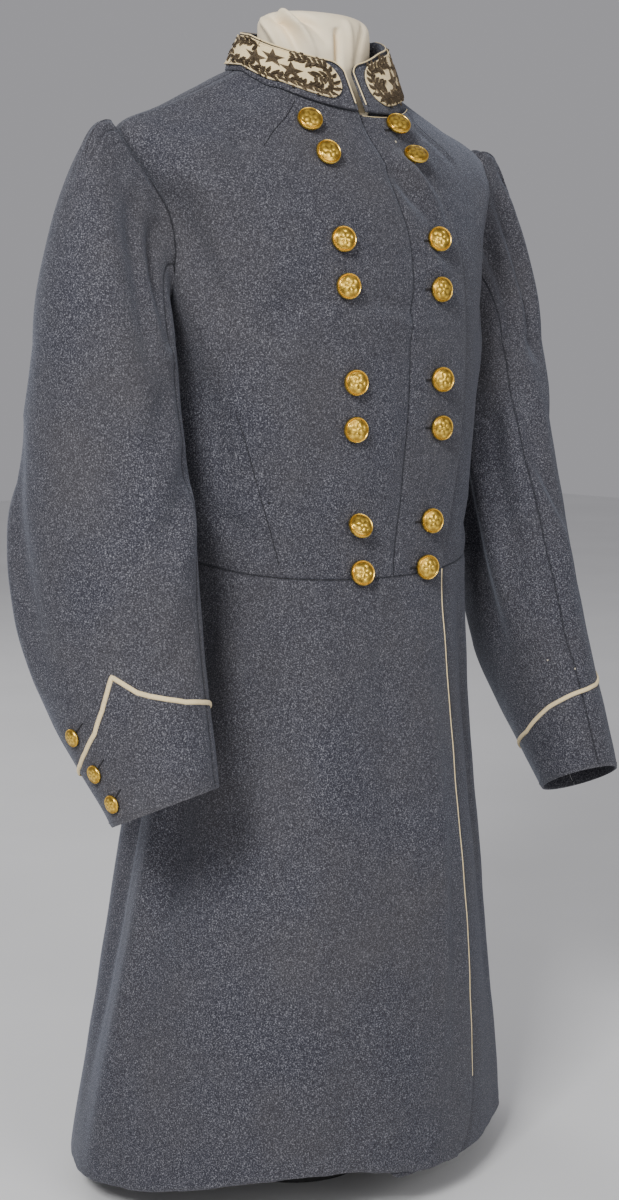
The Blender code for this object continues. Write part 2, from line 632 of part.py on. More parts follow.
strip("back_left", grid(body, BACK_ROWS, back_outer, centre_back, 5, ends=to_hem,
                        bottom=hem_rise), flat)

# Skirts
under_waist = (SEAM_GAP / 2, 0.0)
strip("skirt_right", grid(body, SKIRT_ROWS, flip(side_back), skirt_cloth, 20, ends=under_waist,
                          bottom=hem_rise), lap)
strip("skirt_left", grid(body, SKIRT_ROWS, flip(skirt_edge), side_back, 20, ends=under_waist,
                         bottom=hem_rise), flat)
strip("skirt_piping", grid(body, SKIRT_ROWS[:7], skirt_cloth, skirt_edge, 1, ends=under_waist),
      lap, CLOTH + PIPING_PROUD, BUFF)

# Sleeves and cuffs
for side in ("right", "left"):
    sign = SIGN[side]
    t = SLEEVE_ROWS[:, None]
    fore, hind = sleeve_seam(FORE_SEAM, t), sleeve_seam(HIND_SEAM, t)
    draw = 0.17
    for name, low, high, columns in (("top", hind, fore, 24), ("under", fore, hind + 360, 11)):
        share = np.linspace(0, 1, columns + 1)
        v = (low + draw) * (1 - share) + (high - draw) * share
        w = v if side == "right" else -v[:, ::-1]
        sleeve_strip(f"sleeve_{name}_{side}", side, w, t + 0 * w, 0.0, CLOTH)
    low, high = HIND_SEAM[1] + 0.8, HIND_SEAM[1] + 359.2
    v = np.sort(np.append(np.linspace(low, high, 36), CUFF_POINT))
    w = v if side == "right" else -v[::-1]
    middle = CUFF - cuff_height(w if side == "right" else -w) / sleeve_length(side)
    half = CUFF_PIPING / 2 / sleeve_length(side)
    t = np.stack([middle - half, middle, middle + half])
    w = np.repeat(w[None, :], 3, axis=0)
    proud = np.array([0.0005, 0.0012, 0.0005])[:, None, None]
    point = sleeve(side, w, t)
    normal = sleeve_normals(side, w, t)
    under = point + normal * (CLOTH + LAY_GAP + 0.0002)
    shell(f"cuff_piping_{side}", under, under + normal * proud, BUFF)
    for k, spot in enumerate(CUFF_BUTTONS):
        w = np.array(spot.turn if side == "right" else -spot.turn)
        t = np.array(CUFF - spot.height / sleeve_length(side))
        normal = sleeve_normals(side, w, t)
        place = sleeve(side, w, t) + normal * CLOTH
        button(f"cuff_button_{side}_{k + 1}", f"sleeve_top_{side}", place, normal, CUFF_BUTTON)

# Collar
ends = np.array([0, 0.0015, 0.004, 0.008, 0.012, 0.016])
left = collar_angle("left", ends)
right = collar_angle("right", ends)[::-1]
between = np.linspace(left[-1], right[0], 46)[1:-1]
u = np.concatenate([left, between, right])
from_end = np.minimum(np.interp(u, COLLAR_FINE, COLLAR_ARC),
                      COLLAR_LENGTH - np.interp(u, COLLAR_FINE, COLLAR_ARC))
slack = np.clip(1 - from_end / COLLAR_ROUND, 0, 1)
height = 1 - COLLAR_ROUND / COLLAR_HIGH * (1 - np.sqrt(1 - slack ** 2))
h = np.array([1.0, 0.5, 0.0])[:, None] * height
u = np.repeat(u[None, :], 3, axis=0)


def collar_normals(u, h):
    return normals(lambda a, b: collar(a, -b), u, -h)


point = collar(u, h)
shell("collar", point, point + collar_normals(u, h) * COLLAR_CLOTH, WOOL)

PANEL_MIDDLE = (PANEL_LOW + PANEL_HIGH) / 2
PANEL_HALF = (PANEL_HIGH - PANEL_LOW) / 2
for side in ("right", "left"):
    bend = np.array([0.0004, 0.0015, 0.004, 0.008, 0.0125, PANEL_ROUND])
    run = np.concatenate([bend, np.linspace(PANEL_ROUND, COLLAR_LENGTH / 2 - 0.0129, 20)[1:]])
    slack = np.clip(1 - run / PANEL_ROUND, 0, 1)
    half = PANEL_HALF * np.sqrt(1 - slack ** 2)
    u = collar_angle(side, PANEL_INSET + run)
    if side == "right":
        u, half = u[::-1], half[::-1]
    h = PANEL_MIDDLE + np.array([1.0, 0.0, -1.0])[:, None] * half
    u = np.repeat(u[None, :], 3, axis=0)
    normal = collar_normals(u, h)
    under = collar(u, h) + normal * (COLLAR_CLOTH + 2 * LAY_GAP)
    shell(f"collar_panel_{side}", under, under + normal * PANEL_CLOTH, BUFF)
    for k, (place, star_height) in enumerate(STARS):
        turn = np.radians(90 + 36 * np.arange(10))
        reach = np.where(np.arange(10) % 2 == 0, STAR_RADIUS, STAR_RADIUS * 0.42)
        u = collar_angle(side, place + reach * np.cos(turn) * (1 if side == "left" else -1))
        h = star_height + reach * np.sin(turn) / COLLAR_HIGH
        normal = collar_normals(u, h)
        foot = collar(u, h) + normal * (COLLAR_CLOTH + PANEL_CLOTH + 3.5 * LAY_GAP)
        rings = [foot + normal * STAR_THICK * 0.5, foot]
        centre = collar_angle(side, np.array([place]))
        peak_normal = collar_normals(centre, np.array([star_height]))[0]
        points = np.concatenate([rings[0], rings[1],
                                 [rings[0].mean(axis=0) + peak_normal * STAR_THICK,
                                  rings[1].mean(axis=0)]])
        faces = []
        for j in range(10):
            n = (j + 1) % 10
            faces.append((20, j, n))
            faces.append((21, 10 + n, 10 + j))
            faces.append((j, 10 + j, 10 + n))
            faces.append((j, 10 + n, n))
        add(f"collar_star_{side}_{k + 1}", points, faces, BULLION, crease=20)

# Buttons
for k, row in enumerate(BUTTONS):
    angles = np.linspace(0, 70, 281)
    for side in ("right", "left"):
        ring = getattr(row, side + "_ring")
        u = np.interp(getattr(row, side), body(angles, ring)[..., 0], angles)
        spot = np.array(SIGN[side] * u), np.array(ring)
        normal = normals(body, *spot)
        place = body(*spot) + normal * (lap(*spot) + CLOTH)
        carrier = "forepart_right" if side == "right" else "lapel_right"
        facing = tilted(normal, getattr(row, side + "_turn"), getattr(row, side + "_nod"))
        button(f"front_button_{side}_{k + 1}", carrier, place, facing, COAT_BUTTON)
for side in ("right", "left"):
    spot = np.array(SIGN[side] * BACK_BUTTON[1]), np.array(BACK_BUTTON[0])
    normal = normals(body, *spot)
    button(f"back_button_{side}", f"back_{side}", body(*spot), normal, COAT_BUTTON)

# Form and stand
around = np.arange(-180.0, 180.0, 12.0)


def neck_ring(row, more=0.0):
    s, c = np.sin(np.radians(around)), np.cos(np.radians(around))
    x = (row.wide + more) * s
    y = row.y - (row.deep + more) * c
    return np.stack([x, y, np.full(s.shape, row.z)], axis=-1)


rings = [neck_ring(row) for row in NECK_RINGS[::-1]]
rings.append(oval(around, [np.full(around.shape, number) for number in NECK_FOOT[1:]]))
for r in (0.35, 0.7, 1.4, 2.2, 2.7, 3, 3.25, 3.75, 4.5, 5.25, 6, 7, 8, 9, 9.6, FORM_FOOT):
    ring = np.full(around.shape, float(r))
    off = SEAT_GAP + np.interp(r, EASE_RINGS, EASE)
    rings.append(body(around, ring) - normals(body, around, ring) * off)
rings[-1][:, 2] = FORM_FOOT_HEIGHT
solid("form_torso", rings, LINEN)
cover = [neck_ring(row, LAY_GAP) for row in NECK_RINGS[::-1]]
cover[0][:, 2] += LAY_GAP
foot = oval(around, [np.full(around.shape, number) for number in NECK_FOOT[1:]])
foot = foot + np.stack([np.sin(np.radians(around)), -np.cos(np.radians(around)),
                        np.full(around.shape, 4.0)], axis=-1) * LAY_GAP
cover = np.array(cover + [foot])
out = np.stack([np.sin(np.radians(around)), -np.cos(np.radians(around)), 0 * around], axis=-1)
tops = np.array([1.0, 0.6, 0.2, 0.0, 0.0])[:, None, None] * np.array([0, 0, NECK_CLOTH])
outer = cover + out * NECK_CLOTH * np.array([0.3, 0.9, 1, 1, 1])[:, None, None] + tops
shell("neck_cover", cover, outer, LINEN, loop=True, closed_top=True)

circle = np.linspace(0, 2 * np.pi, 25)[:-1]


def disc(radius, z):
    return np.stack([radius * np.cos(circle), FORM_CENTRE + radius * np.sin(circle),
                     np.full(circle.shape, z)], axis=-1)


solid("pole", [disc(POLE_RADIUS, z) for z in (FORM_FOOT_HEIGHT - SEAM_GAP, BASE_THICK + SEAM_GAP)], STEEL)
solid("base", [disc(BASE_RADIUS - 0.003, BASE_THICK), disc(BASE_RADIUS, BASE_THICK - 0.003),
               disc(BASE_RADIUS, 0.0)], STEEL)
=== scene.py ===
"""The looks of a double-breasted frock coat on a limbless dress form. Metres, +Z up.

The coat faces -Y and the wearer's left side is +X. Every cloth piece is a dense wall on the
same surface as its solid, with creases, seams and trim laid out by the tables below.
"""

import math
from collections import namedtuple

import bpy
import numpy as np
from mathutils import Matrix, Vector


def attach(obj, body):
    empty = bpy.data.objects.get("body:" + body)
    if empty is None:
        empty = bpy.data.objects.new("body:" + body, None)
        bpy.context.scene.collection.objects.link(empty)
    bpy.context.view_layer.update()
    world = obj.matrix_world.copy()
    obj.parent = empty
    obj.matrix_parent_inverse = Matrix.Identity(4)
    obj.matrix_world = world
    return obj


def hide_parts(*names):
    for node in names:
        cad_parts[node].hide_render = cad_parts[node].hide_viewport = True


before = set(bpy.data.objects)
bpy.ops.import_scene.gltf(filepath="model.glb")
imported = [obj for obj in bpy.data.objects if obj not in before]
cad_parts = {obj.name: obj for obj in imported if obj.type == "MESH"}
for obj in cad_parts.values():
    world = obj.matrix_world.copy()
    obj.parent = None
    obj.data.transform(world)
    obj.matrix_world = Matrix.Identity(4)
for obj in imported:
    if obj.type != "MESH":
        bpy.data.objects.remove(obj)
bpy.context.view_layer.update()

# Sizes that the solids have too
CLOTH = 0.0024
SEAM_GAP = 0.0003
LAY_GAP = 0.0004
LAP = CLOTH + 0.0008     # how far the upper front stands above the lower one
SEAT_GAP = 0.0016
PANEL_CLOTH = 0.0010
SKIRT_PIPING = 0.0022
LAPEL_PIPING = 0.0014
LAPEL_SHOWN = 0.0004     # how much of the lapel's light edge is seen beside the wool
SKIRT_SHOWN = 0.0011
CUFF_PIPING = 0.0042
CORNER_WIDE = 0.045
CORNER_HIGH = 0.072
COAT_BUTTON = 0.0115
CUFF_BUTTON = 0.0080
FORM_CENTRE = 0.034      # how far behind the coat's middle the pole and the base stand
BASE_RADIUS = 0.078
BASE_THICK = 0.014
POLE_RADIUS = 0.014

# Sizes of the looks
FINE = 0.0032            # spacing of points on chest, sleeves and collar
BROAD = 0.0042           # and on skirts and back
EDGE_STEPS = (0.0004, 0.0010, 0.0018, 0.0030)    # closer points beside every seam and edge
ROLL_DEPTH = 0.0006      # how far a wall's outer face turns in at its edges
ROLL_WIDTH = 0.0014
SEWN_DEEP = 0.0012       # how far the cloth dips towards a seam
SEWN_WIDE = 0.0060
FREE_WIDE = 0.0090       # how far from a free edge the cloth keeps its height
WORN_WIDE = 0.0030
# how far the painted shade beside each seam and sewn edge reaches
SHADE_WIDE = 0.0009
BUTTON_DENT = 0.0009     # how far a button or a dart pulls the cloth in, and how wide
BUTTON_DENT_WIDE = 0.017
DART_DENT = 0.0010
DART_DENT_WIDE = 0.0050
CREASE_STEPS = 13        # points of each crease's line

# One row for each ring of the coat's body, from the neck seam down to the hem.
Ring = namedtuple("Ring", "name wide side_y front_y back_y front_z side_z back_z square")
BODY = [
    Ring("neck seam",      0.088,  0.004, -0.055, 0.066, 1.003, 1.036, 1.045, 2.05),
    Ring("neck base",      0.119,  0.004, -0.066, 0.080, 0.978, 1.022, 1.032, 1.95),
    Ring("mid shoulder",   0.169,  0.005, -0.077, 0.096, 0.957, 1.002, 1.008, 1.82),
    Ring("shoulder point", 0.221,  0.007, -0.086, 0.108, 0.934, 0.979, 0.975, 1.72),
    Ring("upper chest",    0.202,  0.006, -0.095, 0.116, 0.898, 0.930, 0.932, 2.04),
    Ring("chest",          0.190,  0.004, -0.101, 0.121, 0.858, 0.872, 0.884, 2.20),
    Ring("armhole foot",   0.181,  0.002, -0.105, 0.122, 0.812, 0.817, 0.832, 2.20),
    Ring("ribs",           0.175,  0.000, -0.107, 0.119, 0.748, 0.754, 0.768, 2.20),
    Ring("midriff",        0.169, -0.001, -0.106, 0.113, 0.670, 0.683, 0.696, 2.15),
    Ring("waist seam",     0.161,  0.000, -0.107, 0.113, 0.592, 0.612, 0.622, 2.10),
    Ring("hip",            0.164,  0.012, -0.119, 0.150, 0.503, 0.512, 0.518, 2.05),
    Ring("seat",           0.170,  0.022, -0.133, 0.170, 0.400, 0.400, 0.402, 2.00),
    Ring("thigh",          0.184,  0.033, -0.144, 0.187, 0.283, 0.279, 0.278, 2.00),
    Ring("knee",           0.202,  0.044, -0.147, 0.198, 0.162, 0.153, 0.146, 2.00),
    Ring("hem",            0.221,  0.057, -0.148, 0.210, 0.038, 0.027, 0.018, 2.00),
]
TIP, FOOT, WAIST, HEM = 3, 6, 9, 14

# Where the seams cross each of those rings, in degrees round from the centre of the front.
Seams = namedtuple("Seams", "lapel_seam lapel_edge side side_back")
SEAMS = [
    Seams(-5.0, 57.0, 100.0, 100.0),
    Seams(-1.5, 38.0, 100.0, 100.0),
    Seams( 1.8, 27.0,  99.0, 104.0),
    Seams( 2.6, 22.5,  98.0, 110.0),
    Seams( 4.2, 25.0,  98.0, 117.5),
    Seams( 4.0, 27.5,  98.0, 126.5),
    Seams( 2.2, 29.5,  98.0, 135.0),
    Seams( 1.2, 28.8,  98.0, 144.0),
    Seams(-0.6, 26.5,  99.0, 152.0),
    Seams(-4.0, 19.5, 100.0, 158.0),
    Seams(-4.0, 17.4, 100.0, 158.0),
    Seams(-4.0, 17.2, 100.0, 158.0),
    Seams(-4.0, 17.4, 100.0, 158.0),
    Seams(-4.0, 18.4, 100.0, 158.0),
    Seams(-4.0, 18.0, 100.0, 158.0),
]

# The armhole, an oval in ring numbers and degrees.
ARMHOLE_MID = (TIP + FOOT) / 2
ARMHOLE_HALF = (FOOT - TIP) / 2
ARMHOLE_AT = 98.0
ARMHOLE_FRONT = 20.0
ARMHOLE_BACK = 24.0
SLEEVE_INSIDE = 0.994    # how far inside the armhole the sleeve's sewn edge lies
TIP_START = 4.64         # the ring number at which the side body's narrow top begins

Fold = namedtuple("Fold", "at width depth start")
FOLDS = [
    Fold(-150, 10, 0.010, 9.4), Fold(-126, 12, 0.007, 10.0), Fold(-98, 16, 0.004, 11.0),
    Fold(50, 12, 0.004, 10.5), Fold(80, 16, 0.006, 10.8), Fold(112, 14, 0.008, 10.0),
    Fold(148, 10, 0.010, 9.4), Fold(-134, 6, 0.006, 12.0), Fold(45, 6, 0.004, 12.2),
]

# One row for each ring of a sleeve, from under the arm to the cuff's edge.
Sleeve = namedtuple("Sleeve", "name out y z across depth tilt twist")
SLEEVES = {
    "right": [
        Sleeve("under the arm", 0.244,  0.008, 0.800, 0.052, 0.063,  0,  8),
        Sleeve("upper arm",     0.247,  0.009, 0.735, 0.052, 0.073,  3, 12),
        Sleeve("elbow",         0.251,  0.007, 0.650, 0.051, 0.086,  8, 17),
        Sleeve("forearm",       0.251, -0.014, 0.530, 0.048, 0.081, 16, 17),
        Sleeve("cuff edge",     0.247, -0.070, 0.414, 0.038, 0.050, 24, 17),
    ],
    "left": [
        Sleeve("under the arm", 0.241,  0.014, 0.800, 0.051, 0.063,  0,  8),
        Sleeve("upper arm",     0.238,  0.000, 0.735, 0.050, 0.071,  5, 12),
        Sleeve("elbow",         0.236, -0.020, 0.650, 0.049, 0.079, 12, 17),
        Sleeve("forearm",       0.233, -0.064, 0.510, 0.044, 0.074, 22, 17),
        Sleeve("cuff edge",     0.228, -0.137, 0.372, 0.034, 0.042, 27, 17),
    ],
}
CUFF = 4
HEAD_FULLNESS = {"right": 0.23, "left": 0.34}
FORE_SEAM = (112.0, 96.0)    # degrees round the sleeve from its outer side, at top and cuff
HIND_SEAM = (-75.0, -60.0)
GATHER_WIDTH = 20.0
GATHER_DEPTH = 0.0032
CuffSpot = namedtuple("CuffSpot", "turn height")
CUFF_POINT = 18.0
CUFF_LINE = [
    CuffSpot(-60, 0.0500), CuffSpot(-40, 0.0565), CuffSpot(-25, 0.0645), CuffSpot(-8, 0.0768),
    CuffSpot(5, 0.0938), CuffSpot(12, 0.1068), CuffSpot(18, 0.1196), CuffSpot(25, 0.1103),
    CuffSpot(32, 0.1008), CuffSpot(40, 0.0948), CuffSpot(52, 0.0882), CuffSpot(68, 0.0809),
    CuffSpot(88, 0.0765), CuffSpot(110, 0.0735), CuffSpot(140, 0.0675), CuffSpot(182, 0.0531),
    CuffSpot(240, 0.0470), CuffSpot(300, 0.0500),
]
CUFF_BUTTONS = [CuffSpot(-21.5, 0.018), CuffSpot(-24.5, 0.0455), CuffSpot(-29, 0.079)]

# The standing collar and its light panels
COLLAR_TOP = Ring("collar top", 0.077, 0.005, -0.038, 0.049, 1.047, 1.069, 1.079, 2.00)
COLLAR_UPRIGHT = 0.011
COLLAR_LEFT = -1.0
COLLAR_RIGHT = 353.0
COLLAR_CLOTH = 0.0026
COLLAR_ROUND = 0.016
COLLAR_HIGH = 0.048
COLLAR_FOOT = 0.07       # the share of its height by which the collar laps over the neck seam
PANEL_LOW = 0.07
PANEL_HIGH = 0.90
PANEL_INSET = 0.012
PANEL_ROUND = 0.017
STAR_RADIUS = 0.0100
STARS = [(0.0588, 0.43), (0.0750, 0.62), (0.0915, 0.47)]

# The form
FORM_FOOT = 10.4
FORM_FOOT_HEIGHT = 0.462
EASE_RINGS = (0.0, 2.0, 2.6, 3.0, 5.0, 7.0, 9.0, 10.4)
EASE = (0.0, 0.0004, 0.003, 0.005, 0.006, 0.008, 0.007, 0.022)
NECK_FOOT = Ring("neck foot", 0.061, 0.006, -0.029, 0.041, 0.999, 1.034, 1.043, 2.00)
Neck = namedtuple("Neck", "wide deep y z")
NECK_RINGS = [
    Neck(0.0600, 0.0340, 0.0055, 1.052), Neck(0.0605, 0.0345, 0.0055, 1.074),
    Neck(0.0580, 0.0330, 0.0060, 1.086), Neck(0.0460, 0.0260, 0.0060, 1.0925),
]
NECK_CLOTH = 0.0012

Button = namedtuple("Button", "right_ring right right_turn right_nod left_ring left left_turn left_nod")
BUTTONS = [
    Button(0.92, 0.0655, 12,  2, 0.66, 0.0363, 26, 18),
    Button(2.04, 0.0615, 11, -3, 1.98, 0.0448, 24, 27),
    Button(4.30, 0.0650, 13,  2, 4.22, 0.0533, 27,  3),
    Button(5.23, 0.0640, 13, -2, 5.26, 0.0492, 17, -4),
    Button(6.74, 0.0592, 11,  3, 6.73, 0.0463, 24,  2),
    Button(7.30, 0.0588, 12,  1, 7.32, 0.0458, 20, -3),
    Button(8.43, 0.0536,  8, 30, 8.40, 0.0347, 21,  4),
    Button(8.94, 0.0505, 10, 12, 8.93, 0.0279, 24, -4),
]
BACK_BUTTON = (8.84, 164.0)

# Soft troughs and ridges. Each runs through three spots, given in degrees and ring number on
# the body, and in degrees and row number on a sleeve. A trough's depth is negative.
Crease = namedtuple("Crease", "start middle end width depth")
CREASE_GAIN = 2.6        # every crease is this much deeper than its row says
BODY_CREASES = [
    Crease((6, 1.5), (13, 2.5), (22, 3.6), 0.011, 0.0032),
    Crease((3, 2.1), (9, 3.0), (17, 4.0), 0.010, -0.0026),
    Crease((16, 2.2), (20, 3.0), (23, 3.9), 0.008, -0.0018),
    Crease((9, 4.3), (13, 4.8), (19, 5.1), 0.010, 0.0018),
    Crease((-19, 5.5), (-4, 5.62), (6, 5.8), 0.010, -0.0021),
    Crease((-18, 5.65), (-2, 5.85), (12, 6.0), 0.011, 0.0017),
    Crease((-24, 5.1), (-34, 5.6), (-50, 5.9), 0.020, -0.0020),
    Crease((-76, 3.9), (-68, 4.8), (-60, 6.1), 0.016, -0.0036),
    Crease((-80, 4.9), (-72, 5.7), (-62, 7.0), 0.016, 0.0026),
    Crease((-70, 3.2), (-58, 3.5), (-46, 4.2), 0.014, 0.0020),
    Crease((-85, 6.4), (-72, 7.2), (-60, 8.2), 0.018, -0.0024),
    Crease((-52, 1.6), (-50, 2.3), (-40, 3.1), 0.013, -0.0024),
    Crease((-30, 6.0), (-27, 7.0), (-26, 8.2), 0.020, -0.0014),
    Crease((-80, 8.2), (-62, 8.5), (-40, 8.75), 0.012, -0.0018),
    Crease((76, 3.9), (66, 4.9), (58, 6.1), 0.015, -0.0034),
    Crease((80, 5.0), (70, 5.9), (61, 7.1), 0.016, 0.0025),
    Crease((86, 6.5), (70, 7.3), (56, 8.3), 0.018, -0.0024),
    Crease((66, 3.3), (55, 3.5), (43, 4.4), 0.014, 0.0018),
    Crease((82, 8.1), (62, 8.5), (38, 8.8), 0.012, -0.0017),
    Crease((123, 4.3), (134, 5.0), (146, 6.2), 0.018, -0.0030),
    Crease((124, 5.0), (134, 6.0), (142, 7.4), 0.017, 0.0024),
    Crease((-122, 4.2), (-135, 4.9), (-150, 5.9), 0.018, -0.0032),
    Crease((-124, 5.1), (-133, 6.1), (-144, 7.5), 0.017, 0.0022),
    Crease((176, 7.6), (160, 8.0), (140, 8.2), 0.014, -0.0022),
    Crease((-172, 8.1), (-155, 8.3), (-132, 8.4), 0.013, -0.0020),
    Crease((170, 1.0), (150, 1.6), (128, 2.3), 0.016, -0.0016),
    Crease((-168, 0.8), (-150, 1.5), (-126, 2.4), 0.016, -0.0018),
]
SKIRT_CREASES = [
    Crease((-56, 9.1), (-58, 10.5), (-63, 12.4), 0.016, -0.0026),
    Crease((-33, 9.1), (-34, 10.8), (-38, 13.2), 0.022, 0.0022),
    Crease((-12, 9.2), (-12, 10.6), (-13, 12.6), 0.014, -0.0016),
    Crease((6, 9.6), (6, 11.4), (7, 13.4), 0.013, 0.0016),
    Crease((10, 11.2), (9, 12.4), (8, 13.8), 0.010, -0.0016),
    Crease((-77, 9.1), (-81, 10.7), (-88, 13.0), 0.018, -0.0034),
    Crease((-90, 10.6), (-92, 12.2), (-98, 13.9), 0.016, 0.0030),
    Crease((-108, 9.1), (-111, 10.9), (-113, 13.6), 0.018, -0.0046),
    Crease((-140, 9.1), (-140, 11.0), (-139, 13.7), 0.018, -0.0050),
    Crease((-24, 12.6), (-25, 13.3), (-25, 13.95), 0.016, -0.0020),
    Crease((-50, 12.2), (-52, 13.1), (-53, 13.95), 0.015, 0.0020),
    Crease((36, 9.1), (37, 11.0), (38, 13.2), 0.016, -0.0028),
    Crease((64, 9.1), (66, 11.2), (66, 13.8), 0.016, -0.0036),
    Crease((96, 9.1), (97, 11.0), (97, 13.7), 0.017, -0.0044),
    Crease((128, 9.1), (130, 11.0), (131, 13.8), 0.018, -0.0050),
    Crease((84, 12.4), (84, 13.2), (85, 13.95), 0.013, 0.0024),
    Crease((166, 9.2), (168, 11.0), (170, 13.4), 0.012, -0.0030),
    Crease((-168, 9.2), (-169, 11.2), (-172, 13.6), 0.013, -0.0032),
]
SLEEVE_CREASES = {
    "right": [
        Crease((62, -0.72), (72, -0.3), (84, 0.5), 0.012, -0.0036),
        Crease((84, -0.85), (96, -0.5), (108, 0.1), 0.011, -0.0042),
        Crease((100, 0.2), (84, 0.9), (66, 1.5), 0.014, -0.0028),
        Crease((40, -0.62), (46, 0.2), (50, 1.3), 0.018, 0.0020),
        Crease((20, 0.4), (26, 1.2), (30, 2.3), 0.022, -0.0016),
        Crease((108, 1.3), (86, 1.9), (58, 2.2), 0.012, -0.0026),
        Crease((108, 1.7), (88, 2.2), (64, 2.6), 0.012, 0.0022),
        Crease((-58, 0.9), (-44, 1.9), (-30, 3.0), 0.018, -0.0022),
        Crease((-74, 1.6), (-62, 2.3), (-48, 3.1), 0.016, 0.0022),
        Crease((92, 2.6), (70, 3.0), (48, 3.2), 0.013, -0.0014),
        Crease((-70, -0.7), (-80, -0.2), (-86, 0.7), 0.015, -0.0036),
        Crease((-120, -0.3), (-110, 0.4), (-100, 1.2), 0.015, -0.0034),
        Crease((150, 0.2), (170, 0.8), (190, 1.5), 0.016, -0.0030),
        Crease((130, 1.7), (160, 2.1), (200, 2.3), 0.012, -0.0030),
        Crease((130, 2.1), (160, 2.5), (200, 2.6), 0.012, 0.0024),
        Crease((240, 1.0), (236, 2.0), (228, 3.0), 0.018, -0.0026),
    ],
    "left": [
        Crease((50, -0.80), (60, -0.4), (70, 0.4), 0.011, -0.0042),
        Crease((78, -0.9), (92, -0.5), (106, 0.2), 0.011, -0.0046),
        Crease((22, -0.80), (30, -0.2), (36, 0.8), 0.012, -0.0030),
        Crease((36, -0.7), (44, 0.1), (52, 1.2), 0.012, 0.0030),
        Crease((112, 0.4), (96, 1.1), (76, 1.7), 0.014, -0.0036),
        Crease((100, 1.4), (84, 2.0), (62, 2.4), 0.012, -0.0034),
        Crease((104, 1.8), (86, 2.3), (66, 2.8), 0.012, 0.0026),
        Crease((128, 0.6), (134, 1.6), (136, 2.8), 0.014, -0.0042),
        Crease((150, 1.0), (152, 2.0), (150, 3.2), 0.013, 0.0034),
        Crease((166, 0.8), (168, 2.0), (166, 3.3), 0.013, -0.0036),
        Crease((-66, -0.7), (-78, -0.2), (-84, 0.6), 0.014, -0.0036),
        Crease((-56, 0.8), (-44, 1.8), (-30, 2.9), 0.018, -0.0026),
        Crease((-20, 1.2), (-10, 2.2), (0, 3.2), 0.020, 0.0018),
        Crease((218, 1.2), (226, 2.1), (232, 3.0), 0.016, -0.0028),
        Crease((120, 2.8), (104, 3.1), (80, 3.3), 0.011, -0.0020),
    ],
}

# Small uneven gathers in each sleeve head: degrees from the top, their width and height.
Gather = namedtuple("Gather", "at width height length")
GATHER_GAIN = 1.9        # every gather is this much higher than its row says
GATHERS = {
    "right": [
        Gather(-22, 4.5, 0.0016, 0.10), Gather(-6, 5.0, 0.0022, 0.13), Gather(8, 4.5, 0.0034, 0.16),
        Gather(21, 4.0, 0.0038, 0.15), Gather(33, 4.5, 0.0042, 0.19), Gather(45, 4.0, 0.0030, 0.14),
        Gather(58, 5.0, 0.0022, 0.12),
    ],
    "left": [
        Gather(-18, 4.5, 0.0018, 0.11), Gather(-3, 4.5, 0.0030, 0.15), Gather(11, 4.0, 0.0038, 0.20),
        Gather(24, 4.5, 0.0036, 0.16), Gather(37, 4.0, 0.0026, 0.14), Gather(51, 4.5, 0.0020, 0.11),
    ],
}

# The darts, each through three spots in degrees and ring number, on both fronts.
DARTS = [
    ((60, 7.15), (54.5, 7.75), (47, 8.86)),
    ((45.8, 0.25), (45.5, 1.3), (43, 2.25)),
]

# Two moth holes and a white thread end, in degrees and ring number on the body, and two bits of
# lint on the left sleeve, in degrees and height above the cuff's end.
HOLES = [(-49.0, 8.13), (-38.0, 8.82)]
LINT = [(126.0, 0.112), (98.0, 0.098)]
THREAD_END = (14.5, 1.11)

BODY_NUMBERS = [row[1:] for row in BODY]
ARM_NUMBERS = {side: [row[1:] for row in rows] for side, rows in SLEEVES.items()}
SIDES = ("right", "left")
SIGN = {"right": -1.0, "left": 1.0}


# The shared surfaces
def along(rows, t):
    """The rows' numbers read at row number t, which may fall between rows, on a smooth curve."""
    rows = np.asarray(rows, float)
    padded = np.vstack([2 * rows[0] - rows[1], rows, 2 * rows[-1] - rows[-2]])
    t = np.asarray(t, float)
    i = np.clip(np.floor(t).astype(int), 0, len(rows) - 2)
    f = (t - i)[..., None]
    a, b, c, d = (padded[i + k] for k in range(4))
    return b + 0.5 * f * (c - a + f * (2 * a - 5 * b + 4 * c - d + f * (3 * (b - c) + d - a)))


def smooth_step(x):
    x = np.clip(x, 0.0, 1.0)
    return x * x * (3 - 2 * x)


def oval(u, numbers):
    """The point of a ring at u degrees, from the ring's own numbers."""
    wide, side_y, front_y, back_y, front_z, side_z, back_z, square = numbers
    s, c = np.sin(np.radians(u)), np.cos(np.radians(u))
    x = wide * np.sign(s) * np.abs(s) ** (2 / square)
    w = np.abs(c) ** (2 / square)
    y = side_y + np.where(c > 0, front_y - side_y, back_y - side_y) * w
    z = side_z + np.where(c > 0, front_z - side_z, back_z - side_z) * w
    return np.stack([x, y, z], axis=-1)


def body(u, r):
    """The inner face of the coat's body at u degrees round from the front and ring number r."""
    u, r = np.broadcast_arrays(np.asarray(u, float), np.asarray(r, float))
    point = oval(u, np.moveaxis(along(BODY_NUMBERS, r), -1, 0))
    out = np.zeros(u.shape)
    for fold in FOLDS:
        away = (u - fold.at + 180) % 360 - 180
        grow = smooth_step((r - fold.start) / (HEM - fold.start))
        out = out + fold.depth * grow * np.exp(-((away / fold.width) ** 2))
    s, c = np.sin(np.radians(u)), np.cos(np.radians(u))
    return point + np.stack([s * out, -c * out, np.zeros(u.shape)], axis=-1)


def unit(vectors):
    return vectors / np.maximum(np.linalg.norm(vectors, axis=-1, keepdims=True), 1e-12)


def axes(normal):
    """Two directions square to a normal, one level and one upwards."""
    side = unit(np.cross([0, 0, 1.0], normal))
    return side, np.cross(normal, side)


